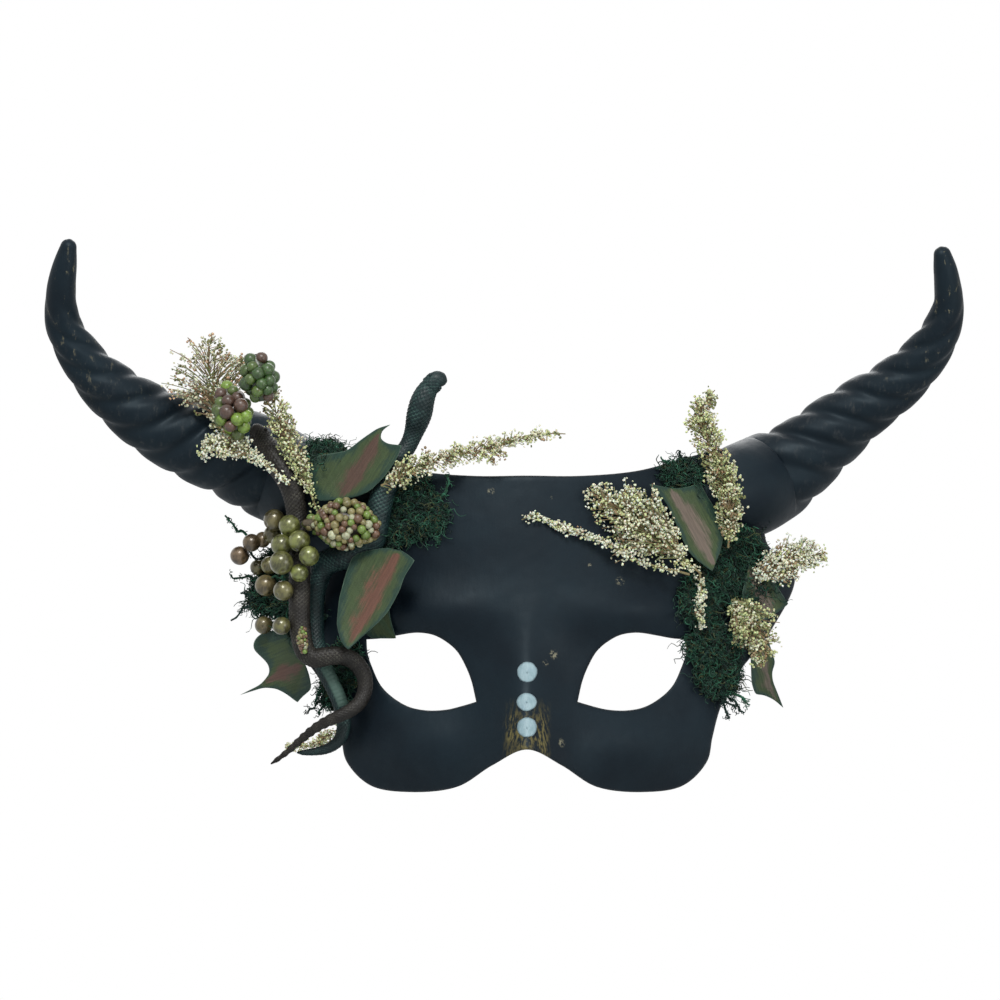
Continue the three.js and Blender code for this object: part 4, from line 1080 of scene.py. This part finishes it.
def moss(node, seed):
    """A bed of curled fibres over a lumpy mat whose near-black colour is painted shade for the depths of the
    bed.
    """
    rng = np.random.default_rng(seed)
    corners, triangles = cad_mesh(node)
    bundle = Bundle()
    mat = bmesh.new()
    verts = [mat.verts.new(p) for p in corners]
    for triangle in triangles:
        mat.faces.new([verts[i] for i in triangle])
    bmesh.ops.subdivide_edges(mat, edges=mat.edges, cuts=4, use_grid_fill=True)
    bmesh.ops.triangulate(mat, faces=mat.faces)
    mat.normal_update()
    mat.verts.index_update()
    points = np.array([v.co[:] for v in mat.verts])
    outward = np.array([v.normal[:] for v in mat.verts])
    lumps = 0.55 * ripple(points, 2.1, seed) + 0.35 * ripple(points, 0.9, seed)
    faces = np.array([[v.index for v in f.verts] for f in mat.faces])
    mat.free()
    # The mat's near-black tint is painted shade: the dark depths between the fibres.
    bundle.add(points + outward * (lumps - 0.35)[:, None], faces, tint=(0.004, 0.014, 0.009))

    p = corners[triangles]
    normal = np.cross(p[:, 1] - p[:, 0], p[:, 2] - p[:, 0])
    area = np.linalg.norm(normal, axis=1) / 2
    normal = unit(normal)
    weight = area * smooth(0.5, -0.1, normal[:, 1])
    count = int(1.9 * weight.sum())
    picked = rng.choice(len(triangles), count, p=weight / weight.sum())
    share = np.sort(rng.random((count, 2)), axis=1)
    mixes = np.column_stack([share[:, 0], share[:, 1] - share[:, 0], 1 - share[:, 1]])
    starts = (p[picked] * mixes[..., None]).sum(axis=1)
    lengths = 1.6 + rng.exponential(1.7, count).clip(0, 7)
    paths = curls(rng, starts, normal[picked], lengths, 0.75)
    radii = rng.uniform(0.13, 0.3, count)[:, None] * np.linspace(1.15, 0.45, paths.shape[1])
    threads(bundle, paths, radii, palette(rng, MOSS_COLOURS, [4, 2.4, 2.4, 1.2], count, 0.3))
    for start, end in STRAYS[node]:
        stray(bundle, rng, start, end)
    bundle.build(f"{node}_fibres", MATERIALS["moss"], "moss", node)


def stray(bundle, rng, start, end):
    """A crinkled strand that leaves the bed, with short side hairs."""
    first = np.array([start[0], float(face_y(*start)) - 1.2, start[1]])
    last = np.array([end[0], first[1] - rng.uniform(0, 3), end[1]])
    steps = 22
    share = np.linspace(0, 1, steps)[:, None]
    line = first + (last - first) * share
    wobble = np.column_stack([ripple(line, 3.2, rng.uniform(1, 90)) for _ in range(3)])
    line = line + 1.9 * wobble * smooth(0, 0.2, share)
    radius = 0.55 * np.linspace(1, 0.5, steps) * (1 + 0.35 * rng.random(steps))
    green = palette(rng, MOSS_COLOURS, [4, 1, 4, 0], 1, 0.2)
    threads(bundle, line[None], radius[None], green, sides=6)
    count = 16
    starts = line[rng.integers(2, steps, count)]
    paths = curls(rng, starts, np.zeros((count, 3)), rng.uniform(1, 2.6, count), 0.5)
    radii = 0.22 * np.ones((count, 1)) * np.linspace(1, 0.5, paths.shape[1])
    threads(bundle, paths, radii, np.repeat(green, count, axis=0))


# ---- berries, pips and beads
def berry(node, share, shape, rng):
    """One pearly berry, browner to the left of the bunch, with a dimple and its stalk behind."""
    low, high = (np.array(corner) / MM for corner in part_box(node))
    centre = (low + high) / 2
    radius = (high - low).max() / 2
    points, faces = shape
    axis = unit(np.array([rng.normal() * 0.5, -0.6, -0.6 + rng.normal() * 0.4]))
    pole = points @ axis
    swell = 1 + 0.02 * ripple(points, 0.9, 10 * share + radius)
    dimple = 0.12 * bump(np.arccos(np.clip(pole, -1, 1)), 0.22)
    skin = points * (swell - dimple)[:, None] * radius
    brown, green = np.array((0.095, 0.065, 0.038)), np.array((0.125, 0.145, 0.042))
    mixed = brown + (green - brown) * np.clip(share + 0.15 * rng.normal(), 0, 1)
    mark = np.clip(bump(np.arccos(np.clip(pole, -1, 1)), 0.13), 0, 1)
    bundle = Bundle()
    guide = np.column_stack([mark, np.zeros(len(points)), np.zeros(len(points))])
    bundle.add(skin + centre, faces, tint=mixed * rng.uniform(0.85, 1.2), guide=guide)
    back = centre + np.array([0, radius * 0.92, 0])
    away = back + np.array([rng.normal() * 1.2, 2.6, 1.5 + rng.normal()])
    stalk = spline([back, (back + away) / 2 + (0, 0, 0.4), away], 0.7)[None]
    threads(bundle, stalk, np.full(stalk.shape[:2], 0.42), np.array([[0.07, 0.06, 0.03]]), sides=6)
    bundle.build(f"{node}_pearl", MATERIALS["berry"], "pearly_berry", node)


def packed(places, sizes, closeness):
    """Those of the places whose balls don't crowd one that is already kept."""
    kept = []
    for i in range(len(places)):
        if kept:
            apart = np.linalg.norm(places[kept] - places[i], axis=1)
            if np.any(apart < closeness * (sizes[kept] + sizes[i])):
                continue
        kept.append(i)
    return np.array(kept)


def cluster(node, start, sizes, colours, weights, flat, seed, slot, middle_and_shade):
    """A tight cluster of little balls on the CAD's own outline, with a dark lumpy body behind them whose
    colour is partly the cluster's own dark middle and partly painted shade in the gaps.
    """
    rng = np.random.default_rng(seed)
    line, radius = lofted(node, start, SPRIG_STEP)
    count = 9000
    at = rng.choice(len(line), count, p=radius / radius.sum())
    ball_size = rng.uniform(*sizes, count)
    _, across, up = carried(line)
    angle = rng.uniform(0, 2 * np.pi, count)
    ring = np.cos(angle)[:, None] * across[at] + np.sin(angle)[:, None] * up[at]
    depth = np.maximum(radius[at] - 0.55 * ball_size, 0.2)[:, None] * ring
    depth[:, 1] *= flat
    places = line[at] + depth
    kept = packed(places, ball_size, 0.74)
    shape = ball(3)
    bundle = Bundle()
    tints = palette(rng, colours, weights, len(kept))
    scatter(bundle, shape, places[kept], ball_size[kept], turns(rng, len(kept)), tints)
    # The body behind the balls fills the gaps; its dark colour is partly the cluster's own middle and partly
    # painted shade.
    sides = 24
    lumpy = 0.3 * rng.random((len(line), sides))
    points, faces = tube(line, radius * 0.62, sides, lumpy)
    points[:, 1] = np.interp(points[:, 1], [points[:, 1].min(), points[:, 1].max()],
                             [line[:, 1].mean() - flat * radius.max() * 0.6,
                              line[:, 1].mean() + flat * radius.max() * 0.6])
    bundle.add(points, faces, tint=middle_and_shade)
    bundle.build(f"{node}_balls", MATERIALS["bead"], slot, node)


# ---- dried flowers
CREAM = (0.74, 0.73, 0.54)
LEMON = (0.6, 0.64, 0.34)
WHITE = (0.84, 0.86, 0.72)
TAN = (0.32, 0.235, 0.14)
PEACH = (0.6, 0.4, 0.27)
OLIVE = (0.24, 0.26, 0.12)
FLOWER_SETS = {
    "cream": ([CREAM, LEMON, WHITE, TAN], [5, 2.5, 2.5, 0.8]),
    "green": ([LEMON, CREAM, OLIVE, TAN], [4, 3, 1.6, 1]),
    "white": ([WHITE, CREAM, LEMON, TAN], [5, 3, 1.5, 0.5]),
    "peach": ([CREAM, PEACH, WHITE, OLIVE], [4, 2.2, 2, 1.4]),
    "tan": ([CREAM, TAN, LEMON, OLIVE], [4.5, 1.2, 3, 0.8]),
}
# Start of the spike, its colours, how many sprays, florets in a spray, and how flat and how
# loose it lies.
SPRIGS = {
    "sprig_loop_left": ((-69, -20.5), "cream", 60, 4, 1, 1.3),
    "sprig_lace_left": ((-107, 83), "peach", 230, 5, 0.5, 1.9),
    "sprig_tall_left": ((-78, 59), "green", 200, 5, 0.7, 1.35),
    "sprig_white_left": ((-89, 70), "white", 170, 5, 0.7, 1.5),
    "sprig_brow_left": ((-55, 70), "tan", 230, 5, 0.8, 1.7),
    "sprig_chain_right": ((65, 37), "white", 46, 5, 1, 1.2),
    "sprig_crown_right": ((65.6, 36.8), "cream", 330, 6, 0.45, 1.25),
    "sprig_long_right": ((61, 36.5), "white", 130, 4, 1, 1.3),
    "sprig_column_right": ((76, 46.5), "green", 330, 6, 0.8, 1.45),
    "sprig_temple_right": ((86, 35), "white", 190, 6, 0.5, 1.3),
    "sprig_cheek_right": ((77, 27), "green", 210, 6, 0.45, 1.35),
}


def floret():
    """A tiny five-lobed flower head of radius 1."""
    points, faces = ball(2)
    angle = np.arctan2(points[:, 1], points[:, 0])
    flat = np.hypot(points[:, 0], points[:, 1])
    lobes = 1 + 0.28 * np.cos(5 * angle) * flat
    cup = 1 - 0.42 * bump(points[:, 2] - 1, 0.45)
    return points * (lobes * cup)[:, None] * (1, 1, 0.8), faces


def sprig(node, start, colours, sprays, each, flat, loose, seed):
    """A dried spike: a stem, twigs that leave it, and a spray of florets on every twig."""
    rng = np.random.default_rng(seed)
    line, radius = lofted(node, start, SPRIG_STEP)
    share = np.linspace(0, 1, len(line))
    tangents, across, up = carried(line)
    bundle = Bundle()
    stem_radius = (0.45 - 0.25 * share)[None]
    stem_wave = 0.25 * np.column_stack([ripple(line, 6, seed + k) for k in range(3)])
    stem = line + stem_wave
    threads(bundle, stem[None], stem_radius, np.array([(0.23, 0.19, 0.1)]), sides=6)

    weight = (radius ** 1.25) * smooth(0.0, 0.12, share)
    at = rng.choice(len(line), sprays, p=weight / weight.sum())
    angle = rng.uniform(0, 2 * np.pi, sprays)
    ring = np.cos(angle)[:, None] * across[at] + np.sin(angle)[:, None] * up[at]
    far = np.maximum(radius[at] - 0.6, 0.3) * np.sqrt(rng.uniform(0.08, 1, sprays)) * loose
    far = far * (1 + 0.5 * smooth(0.1, 0.7, ripple(line[at] + 4 * ring, 5, seed)))
    reach = far[:, None] * ring
    reach[:, 1] *= flat
    ends = line[at] + reach
    setback = np.minimum(at, (1.2 * radius[at] / 0.5).astype(int))
    roots = stem[at - setback]
    bend = (roots + ends) / 2 + 0.15 * np.linalg.norm(reach, axis=1)[:, None] * tangents[at]
    t = np.linspace(0, 1, 6)[None, :, None]
    twigs = (1 - t) ** 2 * roots[:, None] + 2 * t * (1 - t) * bend[:, None] + t * t * ends[:, None]
    twig_radii = rng.uniform(0.14, 0.22, sprays)[:, None] * np.linspace(1.2, 0.8, 6)
    threads(bundle, twigs, twig_radii, palette(rng, [TAN, OLIVE], [2, 1.4], sprays))

    spread = rng.normal(size=(sprays, each, 3)) * 0.8
    at_twig = rng.uniform(0.72, 1.0, (sprays, each, 1))
    tips = roots[:, None] + (ends - roots)[:, None] * at_twig
    places = (tips + spread).reshape(-1, 3)
    sizes = rng.uniform(0.3, 0.62, len(places))
    base, weights = FLOWER_SETS[colours]
    shade = np.repeat(palette(rng, base, weights, sprays, 0.1), each, axis=0)
    tints = np.clip(shade * rng.normal(1, 0.1, (len(places), 1)), 0, 1)
    scatter(bundle, floret(), places, sizes, turns(rng, len(places)), tints)
    bundle.build(f"{node}_spray", MATERIALS["flower"], "dried_flower", node)


# ---- stage
# The view: straight at the front through a long lens, from so many metres and so many wide,
# with its middle at x and z in millimetres.
CAMERA_AWAY = 6.0
VIEW_WIDE = 0.375
VIEW_CENTRE = (-10.1, 64.5)


def stage():
    """A pale floor that fades into a white surround, the lamps and the camera."""
    floor_z = -0.25
    mesh = bmesh.new()
    bmesh.ops.create_circle(mesh, cap_ends=True, segments=96, radius=2.2)
    data = bpy.data.meshes.new("floor")
    mesh.to_mesh(data)
    mesh.free()
    floor = bpy.data.objects.new("floor", data)
    floor.location = (0, 0, floor_z)
    bpy.context.scene.collection.objects.link(floor)
    paint = Finish("floor_paint", Specular_IOR_Level=0.1, Roughness=0.9)
    paint.surface.inputs["Base Color"].default_value = (0.86, 0.86, 0.86, 1)
    white = paint.node("ShaderNodeEmission", {"Color": (1, 1, 1, 1), "Strength": 1.0})
    far = paint.node("ShaderNodeVectorMath", operation="LENGTH")
    paint.join(paint.place(), far.inputs[0])
    share = paint.ramp(far.outputs["Value"], 0.35, 1.3)
    blend = paint.node("ShaderNodeMixShader")
    paint.join(paint.times(share, seen_ray(paint.tree)), blend.inputs[0])
    paint.join(paint.surface.outputs[0], blend.inputs[1])
    paint.join(white.outputs[0], blend.inputs[2])
    paint.join(blend.outputs[0], paint.tree.nodes["Material Output"].inputs["Surface"])
    data.materials.append(paint.material)

    world = bpy.data.worlds.new("studio")
    bpy.context.scene.world = world
    world.use_nodes = True
    tree = world.node_tree
    light = tree.nodes["Background"]
    light.inputs["Color"].default_value = (0.8, 0.93, 1, 1)
    light.inputs["Strength"].default_value = 0.34
    seen = tree.nodes.new("ShaderNodeBackground")
    seen.inputs["Color"].default_value = (1, 1, 1, 1)
    blend = tree.nodes.new("ShaderNodeMixShader")
    tree.links.new(seen_ray(tree), blend.inputs[0])
    tree.links.new(light.outputs[0], blend.inputs[1])
    tree.links.new(seen.outputs[0], blend.inputs[2])
    tree.links.new(blend.outputs[0], tree.nodes["World Output"].inputs["Surface"])

    lamp("key", (-0.15, -1.0, 1.1), 0.45, 17)
    lamp("fill", (0.9, -1.0, 0.2), 0.6, 4)
    lamp("rim", (0.0, 1.2, 0.8), 0.8, 6)

    bpy.context.scene.view_settings.view_transform = "Standard"
    camera = bpy.data.cameras.new("camera")
    camera.lens = camera.sensor_width * CAMERA_AWAY / VIEW_WIDE
    camera.clip_end = 100
    eye = bpy.data.objects.new("camera", camera)
    eye.location = (VIEW_CENTRE[0] * MM, -CAMERA_AWAY, VIEW_CENTRE[1] * MM)
    eye.rotation_euler = (math.pi / 2, 0, 0)
    bpy.context.scene.collection.objects.link(eye)
    bpy.context.scene.camera = eye


def seen_ray(tree):
    """1 for rays that show the surround itself, straight, in a reflection or through glass."""
    path = tree.nodes.new("ShaderNodeLightPath")
    total = path.outputs["Is Camera Ray"]
    for name in ("Is Glossy Ray", "Is Transmission Ray"):
        add = tree.nodes.new("ShaderNodeMath")
        add.operation = "MAXIMUM"
        tree.links.new(total, add.inputs[0])
        tree.links.new(path.outputs[name], add.inputs[1])
        total = add.outputs[0]
    return total


def lamp(name, place, size, watts):
    data = bpy.data.lights.new(name, "AREA")
    data.size = size
    data.energy = watts
    lit = bpy.data.objects.new(name, data)
    lit.location = place
    aim = Vector((0, 0.02, 0.03)) - Vector(place)
    lit.rotation_euler = aim.to_track_quat("-Z", "Y").to_euler()
    bpy.context.scene.collection.objects.link(lit)


# ---- the whole mask
MATERIALS = {
    "shell": painted_paper("shell_paint", shell_wear),
    "horn": painted_paper("horn_paint", horn_wear),
    "leaf_fabric": leaf_fabric(),
    "teal_rubber": snake_rubber(
        "teal_rubber", (0.0025, 0.011, 0.012), (0.06, 0.12, 0.1), (0.075, 0.13, 0.105), 0.25),
    "brown_rubber": snake_rubber(
        "brown_rubber", (0.011, 0.0095, 0.008), (0.095, 0.09, 0.07), (0.1, 0.09, 0.07), 0.22),
    "berry": pearly_lacquer(),
    "bead": bead_lacquer(),
    "flower": dry_flower(),
    "moss": moss_fibre(),
    "dot": dot_paint(),
    "eyelet": worn_metal("eyelet_metal", (0.03, 0.028, 0.026), (0.3, 0.22, 0.1), 0.75),
    "wire": worn_metal("armature_wire", (0.3, 0.3, 0.31), (0.5, 0.5, 0.5), 1.0),
}

stage()
shell()
for dot_node in ("nose_dot_upper", "nose_dot_middle", "nose_dot_lower"):
    nose_dot(dot_node)
for side_sign, side_name in ((-1, "left"), (1, "right")):
    horn(side_sign, side_name)
    eyelet(side_sign, f"ribbon_eyelet_{side_name}")
    for wire_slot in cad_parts[f"horn_wire_{side_name}"].material_slots:
        wire_slot.material = MATERIALS["wire"]

snake("snake_teal", (-30, 109), "snake_teal_skin", "teal_rubber", 13, 1.7, 7.5, (-13, 1), 0.0, 0.32)
snake("snake_brown", (-103, 93), "snake_brown_skin", "brown_rubber", 12, 1.5, 8.0, (-99, -98), 1.0, 0.27)

for leaf_node, (leaf_root, leaf_tip, leaf_heart) in LEAVES.items():
    leaf(leaf_node, leaf_root, leaf_tip, leaf_heart)

for number, moss_node in enumerate(STRAYS):
    moss(moss_node, 20 + number)

berry_nodes = sorted(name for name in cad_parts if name.startswith("berry_"))
berry_x = {name: middle(name)[0] for name in berry_nodes}
berry_rng = np.random.default_rng(5)
berry_shape = ball(5)
for berry_node in berry_nodes:
    place_share = (berry_x[berry_node] - min(berry_x.values())) / np.ptp(list(berry_x.values()))
    berry(berry_node, place_share, berry_shape, berry_rng)

PIPS = [(0.25, 0.22, 0.09), (0.14, 0.075, 0.04), (0.16, 0.24, 0.045), (0.42, 0.43, 0.28)]
LIMES = [(0.04, 0.085, 0.02), (0.075, 0.125, 0.025), (0.08, 0.045, 0.03)]
BRIGHT_LIMES = [(0.17, 0.27, 0.04), (0.085, 0.125, 0.03), (0.09, 0.05, 0.035)]
# Colour of the body behind the pips: partly their own brown middle, partly painted shade in the gaps.
PIP_MIDDLE_AND_SHADE = (0.08, 0.06, 0.03)
cluster("pip_cluster", (-84, 56), (1.15, 1.9), PIPS, [4, 3, 2.5, 1.5], 0.7, 31, "pip", PIP_MIDDLE_AND_SHADE)
cluster("pip_sprig_left", (-84, 16.5), (0.6, 0.95), PIPS, [4, 4, 1, 1], 1, 32, "pip", PIP_MIDDLE_AND_SHADE)
cluster("green_cluster_upper", (-102, 119), (2.1, 2.8), LIMES,
        # The last colour of each green cluster is its body behind the beads, partly its own middle and
        # partly painted shade.
        [5, 3, 1.6], 1, 33, "green_bead", (0.03, 0.045, 0.02))
cluster("green_cluster_lower", (-113.6, 106.8), (2.2, 2.9), BRIGHT_LIMES,
        [3.4, 3, 2.4], 1, 34, "green_bead", (0.04, 0.045, 0.02))

for number, (sprig_node, about) in enumerate(SPRIGS.items()):
    sprig(sprig_node, *about, seed=50 + number)
